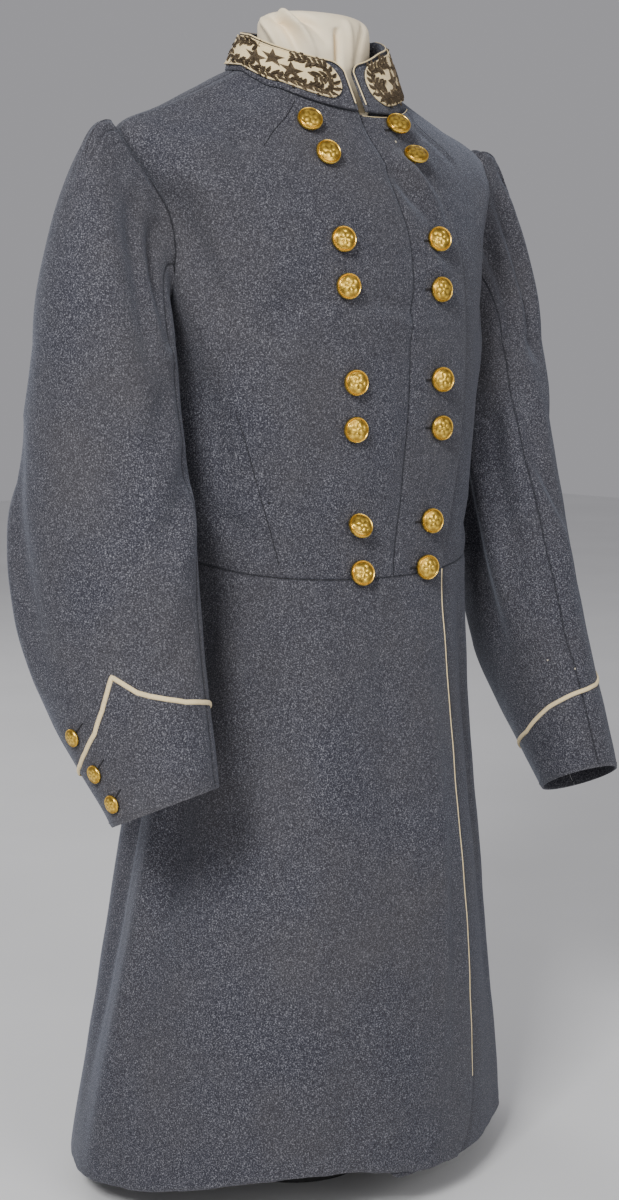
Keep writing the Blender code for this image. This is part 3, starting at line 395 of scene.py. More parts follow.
def normals(surface, u, r, du=0.05, dr=0.002):
    """Outward unit normals of a surface whose first argument turns anticlockwise from above."""
    a = surface(u + du, r) - surface(u - du, r)
    b = surface(u, r - dr) - surface(u, r + dr)
    return unit(np.cross(a, b))


def seam(name):
    """The function that gives a seam's angle at ring number r."""
    column = Seams._fields.index(name)
    return lambda r: along(SEAMS, r)[..., column]


def armhole(turn, inside=1.0):
    """Angle and ring number of the armhole at "turn" degrees from its top, forwards."""
    s = np.sin(np.radians(turn))
    reach = np.where(s > 0, ARMHOLE_FRONT, ARMHOLE_BACK) * inside
    return ARMHOLE_AT - reach * s, ARMHOLE_MID - ARMHOLE_HALF * inside * np.cos(np.radians(turn))


def armhole_side(r, reach):
    """How far the armhole's edge stands from its middle angle at ring number r."""
    share = np.clip((ARMHOLE_MID - r) / ARMHOLE_HALF, -1, 1)
    return reach * np.sqrt(1 - share * share)


def forepart_outer(r):
    """The forepart's far edge: the shoulder seam, then the armhole, then the side seam."""
    inside = (r > TIP) & (r < FOOT)
    return np.where(inside, ARMHOLE_AT - armhole_side(r, ARMHOLE_FRONT), seam("side")(r))


def back_outer(r):
    """The back's far edge: the shoulder seam, the armhole and then the side-back seam."""
    hole = ARMHOLE_AT + armhole_side(r, ARMHOLE_BACK)
    below = np.where(r < ARMHOLE_MID + 0.03, hole, seam("side_back")(r))
    return np.where(r < TIP, seam("side")(r), below)


def side_front(r):
    """The side body's front edge: the armhole's back and then the side seam."""
    return np.where(r < FOOT, ARMHOLE_AT + armhole_side(r, ARMHOLE_BACK), seam("side")(r))


def centre_back(r):
    return np.full(np.shape(r), 180.0)


def degrees(width, r):
    """About how many degrees a width takes up at the front of a ring."""
    return width / (np.radians(1) * along(BODY_NUMBERS, r)[..., 0])


def skirt_edge(r):
    """The front edge of a skirt, rounded off towards the hem."""
    height = (HEM - r) * 0.124
    rise = np.clip(1 - height / CORNER_HIGH, 0, 1)
    back = CORNER_WIDE * (1 - np.sqrt(np.maximum(1 - rise * rise, 0)))
    return seam("lapel_edge")(r) - degrees(back, r)


def skirt_cloth(r):
    """Where the wool of the upper skirt ends, just short of its light edge."""
    shown = SKIRT_SHOWN * (1 - smooth_step((r - 12.6) / 0.9))
    return skirt_edge(r) - degrees(shown, r)


def lapel_cloth(r):
    """Where the wool of the upper lapel ends, so that its light edge shows as a hair line."""
    shown = LAPEL_SHOWN * (0.4 + 0.9 * smooth_step((r - 5.8) / 0.8))
    return seam("lapel_edge")(r) - degrees(shown, r)


def skirt_lining(r):
    return skirt_edge(r) - degrees(SKIRT_PIPING, r)


def lapel_lining(r):
    return seam("lapel_edge")(r) - degrees(LAPEL_PIPING, r)


def under_lapel(r):
    return 0.88 * seam("lapel_edge")(r)


def flip(edge):
    return lambda r: -edge(r)


def lap(u, r):
    """How far the right front stands out, so that it clears the left front under it."""
    around = (u + 180) % 360 - 180
    return LAP * smooth_step((around + 68) / 12) + 0 * r


def flat(u, r):
    return 0 * u + 0 * r


def hem_rise(u):
    """The hem's worn, uneven run, as ring numbers above the lowest ring."""
    wave = 0.20 * np.exp(-(((u + 42) / 30) ** 2)) + 0.03 * np.exp(-(((u - 60) / 25) ** 2))
    frayed = np.sin(u * 0.19) + 0.6 * np.sin(u * 0.43 + 1.0) + 0.3 * np.sin(u * 0.97 + 2.0)
    return wave + 0.006 * frayed


def sleeve_ring(side, v, t):
    """A point of the sleeve below the arm, v degrees round from its outer side to the front."""
    out, y, z, across, depth, tilt, twist = np.moveaxis(along(ARM_NUMBERS[side], t), -1, 0)
    tilt, twist = np.radians(tilt), np.radians(twist)
    a = across * np.cos(np.radians(v))
    b = depth * np.sin(np.radians(v))
    x = SIGN[side] * (out + a * np.cos(twist) - b * np.cos(tilt) * np.sin(twist))
    y = y - a * np.sin(twist) - b * np.cos(tilt) * np.cos(twist)
    return np.stack([x, y, z + b * np.sin(tilt)], axis=-1)


def sleeve(side, w, t):
    """The inner face of a sleeve. t runs from -1 at the armhole through 0 under the arm."""
    w, t = np.broadcast_arrays(np.asarray(w, float), np.asarray(t, float))
    v = w if side == "right" else -w
    low = sleeve_ring(side, v, np.maximum(t, 0))
    u, r = armhole(v, inside=SLEEVE_INSIDE)
    start = body(SIGN[side] * u, r)
    end = sleeve_ring(side, v, np.zeros(v.shape))
    reach = np.linalg.norm(end - start, axis=-1, keepdims=True)
    middle = body(np.full(v.shape, SIGN[side] * ARMHOLE_AT), np.full(v.shape, ARMHOLE_MID))
    low_side = (1 - np.cos(np.radians(v)))[..., None] / 2
    lead = unit(middle - start) * (0.35 + 0.3 * low_side)
    lead[..., 0] += SIGN[side]
    lead[..., 2] += 0.40 + 0.32 * np.cos(np.radians(v))
    lead = unit(lead)
    b = start + lead * (reach * (HEAD_FULLNESS[side] + 0.05 * low_side) + 0.004 * low_side)
    c = end + np.array([0, 0, 1.0]) * reach * 0.45
    f = np.clip(t + 1, 0, 1)[..., None]
    cap = start * (1 - f) ** 3 + 3 * b * f * (1 - f) ** 2 + 3 * c * f * f * (1 - f) + end * f ** 3
    near = np.abs(np.cos(np.radians((v - 20) / 2))) ** 8
    peak = f[..., 0] / 0.14 * np.exp(1 - f[..., 0] / 0.14)
    ripple = 0.4 * GATHER_DEPTH * near * peak * (0.8 + np.cos(2 * np.pi * v / GATHER_WIDTH)) / 1.8
    for gather in GATHERS[side]:
        bump = np.exp(-(((v - gather.at) / gather.width) ** 2))
        rise = f[..., 0] / gather.length * np.exp(1 - f[..., 0] / gather.length)
        ripple = ripple + GATHER_GAIN * gather.height * bump * rise
    cap = cap + ripple[..., None] * np.array([SIGN[side] * 0.35, 0, 0.94])
    return np.where(t[..., None] > 0, low, cap)


def sleeve_normals(side, w, t):
    """Normals of a sleeve, turned to the body's own normals where the two are sewn together."""
    own = normals(lambda a, b: sleeve(side, a, b), w, t)
    u, r = armhole(w if side == "right" else -w, inside=SLEEVE_INSIDE)
    weight = smooth_step((t + 1) / 0.10)[..., None]
    return unit(normals(body, SIGN[side] * u, r) * (1 - weight) + own * weight)


def sleeve_seam(ends, t):
    """A sleeve seam's angle at t, from its angles at the armhole and at the cuff."""
    return ends[0] + (ends[1] - ends[0]) * smooth_step((t + 0.2) / (CUFF + 0.2))


def sleeve_length(side):
    """The distance from the forearm's ring to the cuff's edge."""
    a, b = (np.array([row.out, row.y, row.z]) for row in SLEEVES[side][-2:])
    return np.linalg.norm(a - b)


def cuff_height(v):
    """How high the cuff's light edge stands above the cuff's end."""
    turns, heights = zip(*CUFF_LINE)
    return np.interp((v + 60) % 360 - 60, turns, heights)


def collar(u, h):
    """The inner face of the collar, h being 0 at the neck seam and 1 at its upper edge."""
    u, h = np.broadcast_arrays(np.asarray(u, float), np.asarray(h, float))
    base = body(u, np.zeros(u.shape))
    around = (u + 180) % 360 - 180
    drop = 1 - smooth_step((around - 12) / 13)
    lift = lap(u, 0) * drop + CLOTH + 2.5 * LAY_GAP
    base = base + normals(body, u, np.zeros(u.shape)) * lift[..., None]
    top = oval(u, [np.full(u.shape, number) for number in COLLAR_TOP[1:]])
    upright = smooth_step((around - 2) / 40) * (1 - smooth_step((around - 70) / 70))
    top[..., 2] = top[..., 2] + COLLAR_UPRIGHT * upright
    return base * (1 - h[..., None]) + top * h[..., None]


def collar_normals(u, h):
    return normals(lambda a, b: collar(a, -b), u, -h)


COLLAR_FINE = np.linspace(COLLAR_LEFT, COLLAR_RIGHT, 709)
COLLAR_RUN = collar(COLLAR_FINE, np.full(COLLAR_FINE.shape, 0.5))
COLLAR_ARC = np.concatenate(
    [[0], np.cumsum(np.linalg.norm(np.diff(COLLAR_RUN, axis=0), axis=1))]
)
COLLAR_LENGTH = COLLAR_ARC[-1]


def collar_angle(side, arc):
    """The collar's angle at a distance along it from its left or right front end."""
    place = arc if side == "left" else COLLAR_LENGTH - np.asarray(arc)
    return np.interp(place, COLLAR_ARC, COLLAR_FINE)


# Materials
def material(name, **inputs):
    made = bpy.data.materials.new(name)
    made.use_nodes = True
    shader = made.node_tree.nodes["Principled BSDF"]
    for key, value in inputs.items():
        shader.inputs[key.replace("_", " ")].default_value = value
    return made, made.node_tree, shader


def node(tree, kind, **settings):
    made = tree.nodes.new(kind)
    for key, value in settings.items():
        if hasattr(made, key):
            setattr(made, key, value)
        else:
            made.inputs[key.replace("_", " ")].default_value = value
    return made


def place(tree):
    return node(tree, "ShaderNodeTexCoord").outputs["Object"]


def noise(tree, scale, detail=2.0, roughness=0.5, stretch=(1, 1, 1)):
    mapping = node(tree, "ShaderNodeMapping", Scale=stretch)
    tree.links.new(place(tree), mapping.inputs["Vector"])
    made = node(tree, "ShaderNodeTexNoise", Scale=scale, Detail=detail, Roughness=roughness)
    tree.links.new(mapping.outputs["Vector"], made.inputs["Vector"])
    return made.outputs["Fac"]


def ramp(tree, value, stops):
    made = node(tree, "ShaderNodeValToRGB")
    while len(made.color_ramp.elements) < len(stops):
        made.color_ramp.elements.new(0.5)
    for element, (spot, colour) in zip(made.color_ramp.elements, stops):
        element.position = spot
        element.color = (*colour, 1)
    tree.links.new(value, made.inputs["Fac"])
    return made.outputs["Color"]


def blend(tree, share, first, second, kind="MIX"):
    made = node(tree, "ShaderNodeMix", data_type="RGBA", blend_type=kind)
    for value, socket in ((share, made.inputs[0]), (first, made.inputs[6]), (second, made.inputs[7])):
        if isinstance(value, bpy.types.NodeSocket):
            tree.links.new(value, socket)
        elif isinstance(value, tuple):
            socket.default_value = (*value, 1)
        else:
            socket.default_value = value
    return made.outputs[2]


def sums(tree, kind, first, second):
    made = node(tree, "ShaderNodeMath", operation=kind)
    for value, socket in zip((first, second), made.inputs):
        if isinstance(value, bpy.types.NodeSocket):
            tree.links.new(value, socket)
        else:
            socket.default_value = value
    return made.outputs[0]


def rough(tree, shader, heights):
    """Chain bumps onto a shader, each a height, a strength and a distance in metres."""
    last = None
    for height, strength, distance in heights:
        made = node(tree, "ShaderNodeBump", Strength=strength, Distance=distance)
        tree.links.new(height, made.inputs["Height"])
        if last is not None:
            tree.links.new(last, made.inputs["Normal"])
        last = made.outputs["Normal"]
    tree.links.new(last, shader.inputs["Normal"])


def attribute(tree, name):
    return node(tree, "ShaderNodeAttribute", attribute_name=name).outputs["Fac"]


def tinted(tree, colour, mask, share, tint):
    """Lay a tint over a colour by a share of a mask."""
    return blend(tree, sums(tree, "MULTIPLY", mask, share), colour, tint)


def patches(tree, value, low, high):
    """A mask of a noise: nothing below "low" and all above "high"."""
    return ramp(tree, value, [(low, (0, 0, 0)), (high, (1, 1, 1))])


def wool_material():
    """Milled wool spun from dark and light fibres, browned by light, rubbed at its edges and painted
    darker beside its seams as shade.
    """
    made, tree, shader = material("wool", Roughness=0.93, Sheen_Weight=0.22, Sheen_Roughness=0.45,
                                  Specular_IOR_Level=0.18)
    shader.inputs["Sheen Tint"].default_value = (0.62, 0.68, 0.82, 1)
    fibres = noise(tree, 860, detail=3, roughness=0.75)
    colour = ramp(tree, fibres, [(0.28, (0.008, 0.008, 0.012)), (0.45, (0.031, 0.031, 0.041)),
                                 (0.56, (0.067, 0.067, 0.082)), (0.68, (0.30, 0.30, 0.33))])
    flecks = patches(tree, noise(tree, 640, detail=1), 0.63, 0.72)
    clouds = patches(tree, noise(tree, 7, detail=4, roughness=0.6), 0.40, 0.66)
    dust = patches(tree, noise(tree, 38, detail=5, roughness=0.7), 0.55, 0.80)
    for mask, share, tint in ((flecks, 0.50, (0.27, 0.27, 0.29)),
                              (clouds, 0.34, (0.078, 0.072, 0.070)),
                              (dust, 0.16, (0.17, 0.175, 0.19)),
                              (attribute(tree, "edge"), 0.30, (0.105, 0.102, 0.104)),
                              # painted shade: darker beside seams and sewn edges
                              (attribute(tree, "shade"), 0.62, (0.006, 0.006, 0.008))):
        colour = tinted(tree, colour, mask, share, tint)
    tree.links.new(colour, shader.inputs["Base Color"])
    rough(tree, shader, [(noise(tree, 26, detail=3), 0.30, 0.0012), (fibres, 0.60, 0.0006)])
    return made


def buff_material():
    """Light facing cloth, felted and a little soiled."""
    made, tree, shader = material("buff wool", Roughness=0.9, Sheen_Weight=0.15,
                                  Specular_IOR_Level=0.2)
    fibres = noise(tree, 900, detail=3, roughness=0.7)
    colour = ramp(tree, fibres, [(0.30, (0.78, 0.60, 0.31)), (0.70, (0.96, 0.80, 0.48))])
    soil = patches(tree, noise(tree, 60, detail=4), 0.48, 0.75)
    colour = tinted(tree, colour, soil, 0.30, (0.56, 0.45, 0.29))
    colour = tinted(tree, colour, attribute(tree, "edge"), 0.45, (0.42, 0.34, 0.22))
    tree.links.new(colour, shader.inputs["Base Color"])
    rough(tree, shader, [(fibres, 0.4, 0.0004)])
    return made


def gilt_material():
    """Stamped gilt brass, bright on what stands up and brown in the hollows."""
    made, tree, shader = material("gilt brass", Metallic=1.0, Roughness=0.30)
    low = attribute(tree, "hollow")
    colour = blend(tree, low, (1.0, 0.66, 0.11), (0.22, 0.095, 0.012))
    spots = patches(tree, noise(tree, 420, detail=3), 0.55, 0.75)
    colour = tinted(tree, colour, spots, 0.35, (0.42, 0.22, 0.06))
    tree.links.new(colour, shader.inputs["Base Color"])
    shine = ramp(tree, noise(tree, 260, detail=2), [(0.35, (0.20,) * 3), (0.70, (0.40,) * 3)])
    tree.links.new(shine, shader.inputs["Roughness"])
    rough(tree, shader, [(noise(tree, 700, detail=3), 0.25, 0.0003)])
    return made


def bullion_material():
    """Tarnished metal thread, laid in slanting rows that the "thread" attribute counts, each row painted
    light on its crown and dark between rows as highlight and shade.
    """
    made, tree, shader = material("bullion", Metallic=0.65, Roughness=0.48)
    wave = sums(tree, "SINE", sums(tree, "MULTIPLY", attribute(tree, "thread"), 2 * math.pi), 0.0)
    rows = sums(tree, "MULTIPLY_ADD", wave, 0.5)
    rows.node.inputs[2].default_value = 0.5
    # painted highlight and shade: dark between the thread rows and light on their crowns; the same rows
    # also drive the bump
    colour = blend(tree, rows, (0.030, 0.021, 0.014), (0.27, 0.20, 0.12))
    tarnish = patches(tree, noise(tree, 300, detail=3), 0.45, 0.70)
    colour = tinted(tree, colour, tarnish, 0.5, (0.085, 0.062, 0.042))
    tree.links.new(colour, shader.inputs["Base Color"])
    rough(tree, shader, [(rows, 0.9, 0.0004)])
    return made


def linen_material():
    """The plain cotton of the form and its neck cover."""
    made, tree, shader = material("form cotton", Roughness=0.82, Sheen_Weight=0.12,
                                  Specular_IOR_Level=0.25)
    weave = noise(tree, 1400, detail=1, stretch=(1, 1, 0.5))
    colour = ramp(tree, noise(tree, 22, detail=3),
                  [(0.35, (0.93, 0.78, 0.54)), (0.68, (0.99, 0.87, 0.64))])
    colour = tinted(tree, colour, weave, 0.10, (0.60, 0.55, 0.46))
    tree.links.new(colour, shader.inputs["Base Color"])
    rough(tree, shader, [(weave, 0.25, 0.0002)])
    return made


def thread_material(name, dark, light):
    """Twisted sewing thread."""
    made, tree, shader = material(name, Roughness=0.75, Specular_IOR_Level=0.3)
    strands = noise(tree, 1500, detail=2)
    tree.links.new(ramp(tree, strands, [(0.35, dark), (0.65, light)]), shader.inputs["Base Color"])
    rough(tree, shader, [(strands, 0.5, 0.0002)])
    return made


def steel_material():
    made, tree, shader = material("painted steel", Roughness=0.42)
    speckle = noise(tree, 240, detail=3)
    tree.links.new(ramp(tree, speckle, [(0.3, (0.022,) * 3), (0.7, (0.040,) * 3)]),
                   shader.inputs["Base Color"])
    rough(tree, shader, [(speckle, 0.25, 0.0002)])
    return made


WOOL = wool_material()
BUFF = buff_material()
GILT = gilt_material()
BULLION = bullion_material()
LINEN = linen_material()
STEEL = steel_material()
# the buttonholes' dark sewing-thread material, which also paints shade along the darts, in the collar's
# fold and in the moth holes
DARK_THREAD_AND_SHADE = thread_material("dark thread and painted shade", (0.008, 0.008, 0.010), (0.030, 0.030, 0.036))
LIGHT_THREAD = thread_material("light thread", (0.45, 0.38, 0.26), (0.80, 0.72, 0.56))


# Meshes
def quads(index):
    """The faces of a grid of point numbers, whose rows run down and columns run round."""
    corners = [index[:-1, :-1], index[1:, :-1], index[1:, 1:], index[:-1, 1:]]
    return np.stack(corners, axis=-1).reshape(-1, 4)


def wall_faces(rows, columns, loop=False):
    """The faces of a closed wall: outer grid, inner grid and the strips between their edges."""
    front = np.arange(rows * columns).reshape(rows, columns)
    if loop:
        front = np.hstack([front, front[:, :1]])
    back = front + rows * columns
    faces = [quads(front), quads(back[:, ::-1]), quads(np.stack([back[0], front[0]])),
             quads(np.stack([front[-1], back[-1]]))]
    if not loop:
        faces.append(quads(np.stack([back[:, 0], front[:, 0]], axis=1)))
        faces.append(quads(np.stack([front[:, -1], back[:, -1]], axis=1)))
    return np.concatenate(faces)


def piece(name, points, faces, finish, nodes=(), crease=50, **attributes):
    """Make one shown mesh that stands for the named solids and rides on the coat."""
    if nodes:
        name = name + "_dressed"
    mesh = bpy.data.meshes.new(name)
    moved = np.asarray(points).reshape(-1, 3) - np.array([0.0, FORM_CENTRE, 0.0])
    mesh.from_pydata(moved.tolist(), [], faces if isinstance(faces, list) else faces.tolist())
    mesh.materials.append(finish)
    mesh.polygons.foreach_set("use_smooth", [True] * len(mesh.polygons))
    mesh.set_sharp_from_angle(angle=math.radians(crease))
    for key, values in attributes.items():
        layer = mesh.attributes.new(key, "FLOAT", "POINT")
        layer.data.foreach_set("value", np.asarray(values, np.float32).ravel())
    made = bpy.data.objects.new(name, mesh)
    bpy.context.scene.collection.objects.link(made)
    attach(made, "root")
    if nodes:
        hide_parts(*nodes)
    return made


def to_edges(grid, loop=False):
    """The distance from each point of a grid to the nearest of its four edges."""
    down = np.concatenate([np.zeros((1, grid.shape[1])), np.cumsum(
        np.linalg.norm(np.diff(grid, axis=0), axis=2), axis=0)])
    near = np.minimum(down, down[-1] - down)
    if loop:
        return near
    run = np.concatenate([np.zeros((grid.shape[0], 1)), np.cumsum(
        np.linalg.norm(np.diff(grid, axis=1), axis=2), axis=1)], axis=1)
    return np.minimum(near, np.minimum(run, run[:, -1:] - run))


def wall(name, inner, normal, thick, finish, nodes=(), loop=False, sewn=SEWN_DEEP, free=""):
    """A closed cloth wall on a grid of inner points, dipping and turned in towards its edges.

    "free" names the edges that do not dip: "neck" is the top one, under the collar, and "foot",
    "first" and "last" column are free and rubbed. Every other edge is a seam. Beside every edge
    but the rubbed ones the colour is darkened as painted shade.
    """
    rows, columns = inner.shape[:2]
    far = to_edges(inner, loop)
    worn, unsewn = np.zeros(far.shape), np.zeros(far.shape)
    sides = {"neck": inner[:1], "foot": inner[-1:], "first": inner[:, :1], "last": inner[:, -1:]}
    for edge_name in free.split():
        away = np.linalg.norm(inner - sides[edge_name], axis=-1)
        unsewn = np.maximum(unsewn, np.exp(-((away / FREE_WIDE) ** 2)))
        if edge_name != "neck":
            worn = np.maximum(worn, np.exp(-away / WORN_WIDE))
    dip = (sewn * (1 - unsewn) * np.exp(-((far / SEWN_WIDE) ** 2)))[..., None]
    roll = ROLL_DEPTH * np.exp(-((far / ROLL_WIDTH) ** 2))[..., None]
    inner = inner - normal * dip
    outer = inner + normal * (thick - np.minimum(roll, thick * 0.35))
    # painted shade: the colour darkens within about a millimetre of every edge but the rubbed ones, where
    # the seam's groove would lie in shade
    shade = np.exp(-((far / SHADE_WIDE) ** 2)) * (worn < 0.5) * (not loop)
    return piece(name, np.concatenate([outer.reshape(-1, 3), inner.reshape(-1, 3)]),
                 wall_faces(rows, columns, loop), finish, nodes, edge=np.stack([worn, worn]),
                 shade=np.stack([shade, shade]))


def cut(grid):
    """Work out the flat width, length and area that a cloth piece's own grid of points has; the sizes are
    not kept.
    """
    across = np.linalg.norm(np.diff(grid, axis=1), axis=2).sum(axis=1).max()
    down = np.linalg.norm(np.diff(grid, axis=0), axis=2).sum(axis=0).max()
    a, b = grid[1:, :-1] - grid[:-1, :-1], grid[:-1, 1:] - grid[:-1, :-1]
    area = np.linalg.norm(np.cross(a, b), axis=2).sum()
    area = min(max(area, 0.31 * across * down), across * down)


def shares(length, step):
    """Shares of a length: even steps, with closer ones beside both ends."""
    near = np.array(EDGE_STEPS) / length
    even = np.linspace(0, 1, max(int(length / step), 2) + 1)
    even = even[(even > near[-1] * 1.3) & (even < 1 - near[-1] * 1.3)]
    return np.concatenate([[0], near, even, 1 - near[::-1], [1]])


def edged(surface, u, rows):
    """Ring numbers with closer ones beside the first and the last."""
    close = np.array(EDGE_STEPS)
    top = np.linalg.norm(surface(u, rows[0] + 0.05) - surface(u, rows[0])) / 0.05
    foot = np.linalg.norm(surface(u, rows[-1]) - surface(u, rows[-1] - 0.05)) / 0.05
    first, last = rows[0] + close / top, rows[-1] - close[::-1] / foot
    between = rows[(rows > first[-1] + 0.001 / top) & (rows < last[0] - 0.001 / foot)]
    return np.concatenate([rows[:1], first, between, last, rows[-1:]])


def gap_in_degrees(surface, edge, r, gap):
    """The angle by which an edge draws back so that "gap" is left square to the seam."""
    u = edge(r)
    across = (surface(u + 0.05, r) - surface(u - 0.05, r)) / 0.1
    run = unit(surface(edge(r + 0.01), r + 0.01) - surface(edge(r - 0.01), r - 0.01))
    size = np.linalg.norm(across, axis=-1)
    square = np.linalg.norm(np.cross(across, run), axis=-1)
    return gap / np.maximum(square, 0.3 * size)


def strip_spots(rows, start, stop, step, gaps, ends, top=None, bottom=None):
    """Angles and ring numbers of a strip of the body between two seams."""
    middle = (start(rows).mean() + stop(rows).mean()) / 2
    rows = edged(body, middle, rows)
    low = start(rows) + gap_in_degrees(body, start, rows, gaps[0])
    high = stop(rows) - gap_in_degrees(body, stop, rows, gaps[1])
    width = np.linalg.norm(body(low, rows) - body(high, rows), axis=-1).max()
    share = shares(width, step)
    u = low[:, None] * (1 - share) + high[:, None] * share
    r = np.repeat(rows[:, None], len(share), axis=1)
    for k, sign in ((0, 1), (-1, -1)):
        size = np.linalg.norm(body(u[k], r[k] + 0.01) - body(u[k], r[k] - 0.01), axis=-1)
        r[k] = r[k] + sign * ends[k] * 0.02 / size
    depth = (r - r[0]) / (r[-1] - r[0])
    if top is not None:
        r = r + top(share) * (1 - depth) ** 6
    if bottom is not None:
        r = r - bottom(u) * smooth_step((depth - 0.55) / 0.45)
    low = start(r) + gap_in_degrees(body, start, r, gaps[0])
    high = stop(r) - gap_in_degrees(body, stop, r, gaps[1])
    return low * (1 - share) + high * share, r


# Relief
def bent(start, middle, end, count):
    """Spots of a curve that passes its middle spot half way, as two rows of numbers."""
    a, m, b = (np.array(spot, float) for spot in (start, middle, end))
    t = np.linspace(0, 1, count)[:, None]
    return (a * (1 - t) ** 2 + (4 * m - a - b) * t * (1 - t) + b * t * t).T


def to_line(points, line):
    """Each point's distance to a line of points, and how far along it that falls, 0 to 1."""
    best = np.full(points.shape[:-1], 1e9)
    where = np.zeros(points.shape[:-1])
    for k, (a, b) in enumerate(zip(line[:-1], line[1:])):
        d = b - a
        s = np.clip(((points - a) @ d) / (d @ d), 0, 1)
        distance = np.linalg.norm(points - a - s[..., None] * d, axis=-1)
        closer = distance < best
        best = np.where(closer, distance, best)
        where = np.where(closer, (k + s) / (len(line) - 1), where)
    return best, where


def creased(points, surface, creases):
    """How far the creases move each point outwards."""
    out = np.zeros(points.shape[:-1])
    for crease in creases:
        line = surface(*bent(crease.start, crease.middle, crease.end, CREASE_STEPS))
        middle = line.mean(axis=0)
        reach = np.linalg.norm(line - middle, axis=1).max() + 3 * crease.width
        near = np.linalg.norm(points - middle, axis=-1) < reach
        if near.any():
            distance, share = to_line(points[near], line)
            fade = np.sin(np.pi * np.clip(share, 0, 1)) ** 0.8
            out[near] += CREASE_GAIN * crease.depth * fade * np.exp(-((distance / crease.width) ** 2))
    return out


def uneven(points, size):
    """The slight waviness that worn wool keeps, the same on every run."""
    x, y, z = np.moveaxis(points, -1, 0)
    waves = (np.sin(41 * x + 23 * z + 0.4) + np.sin(37 * y - 29 * z + 1.9)
             + 0.7 * np.sin(67 * z + 31 * x - 17 * y) + 0.5 * np.sin(113 * z - 71 * x + 59 * y + 2.2)
             + 0.35 * np.sin(151 * x + 167 * y + 3.0))
    return size * waves / 3


def on_body(u, r, high):
    """A point of the body's surface, and its normal, at a height above its inner face."""
    u, r = np.broadcast_arrays(np.asarray(u, float), np.asarray(r, float))
    normal = normals(body, u, r)
    return body(u, r) + normal * np.asarray(high)[..., None], normal


def button_spots():
    """The name, place and normal of each front and back button."""
    spots = []
    angles = np.linspace(0, 70, 281)
    for k, row in enumerate(BUTTONS):
        for side in SIDES:
            ring = getattr(row, side + "_ring")
            u = SIGN[side] * np.interp(getattr(row, side), body(angles, ring)[..., 0], angles)
            point, normal = on_body(u, ring, lap(u, ring) + CLOTH)
            spots.append((f"front_button_{side}_{k + 1}", point, normal, u, ring))
    for side in SIDES:
        u = SIGN[side] * BACK_BUTTON[1]
        point, normal = on_body(u, BACK_BUTTON[0], CLOTH)
        spots.append((f"back_button_{side}", point, normal, u, BACK_BUTTON[0]))
    return spots


BUTTON_SPOTS = button_spots()


def body_relief(points):
    out = creased(points, body, BODY_CREASES + SKIRT_CREASES) + uneven(points, 0.0007)
    for _, spot, _, _, _ in BUTTON_SPOTS:
        away = np.linalg.norm(points - spot, axis=-1)
        out = out - BUTTON_DENT * np.exp(-((away / BUTTON_DENT_WIDE) ** 2))
    for dart in DARTS:
        for side in SIDES:
            line = body(*bent(*((SIGN[side] * u, r) for u, r in dart), CREASE_STEPS))
            out = out - DART_DENT * np.exp(-((to_line(points, line)[0] / DART_DENT_WIDE) ** 2))
    return out


def at_collar(r):
    """The share of the relief that is left at ring number r, none at the neck seam."""
    return smooth_step(np.asarray(r) / 0.45)


def strip(name, spots, offset, free):
    """A wool piece of the body at its spots, on top of "offset"."""
    u, r = spots
    base, normal = on_body(u, r, offset(u, r))
    inner = base + normal * (body_relief(base) * at_collar(r))[..., None]
    made = wall(name, inner, normal, CLOTH, WOOL, [name], free=free)
    cut(inner)
    return made


# Fronts, sides, back and skirts
TURN_ROWS = ARMHOLE_MID - ARMHOLE_HALF * np.cos(np.radians(np.arange(0, 180.1, 4)))
LOWER = np.linspace(FOOT, WAIST, 64)[1:]
FRONT_ROWS = np.concatenate([np.linspace(0, TIP, 37)[:-1], TURN_ROWS, LOWER])
SIDE_ROWS = np.concatenate([[TIP_START], TURN_ROWS[TURN_ROWS > TIP_START + 0.03], LOWER])
SKIRT_ROWS = np.linspace(WAIST, HEM, 134)
BACK_ROWS = np.concatenate([FRONT_ROWS, SKIRT_ROWS[1:]])
HALF = SEAM_GAP / 2
LAPEL_TOP = 0.17


def lapel_top(share):
    """How far the upper lapel starts below the neck seam, as ring numbers."""
    return LAPEL_TOP + 0.04 * share


def under_lapel_top(share):
    return LAPEL_TOP + 0 * share


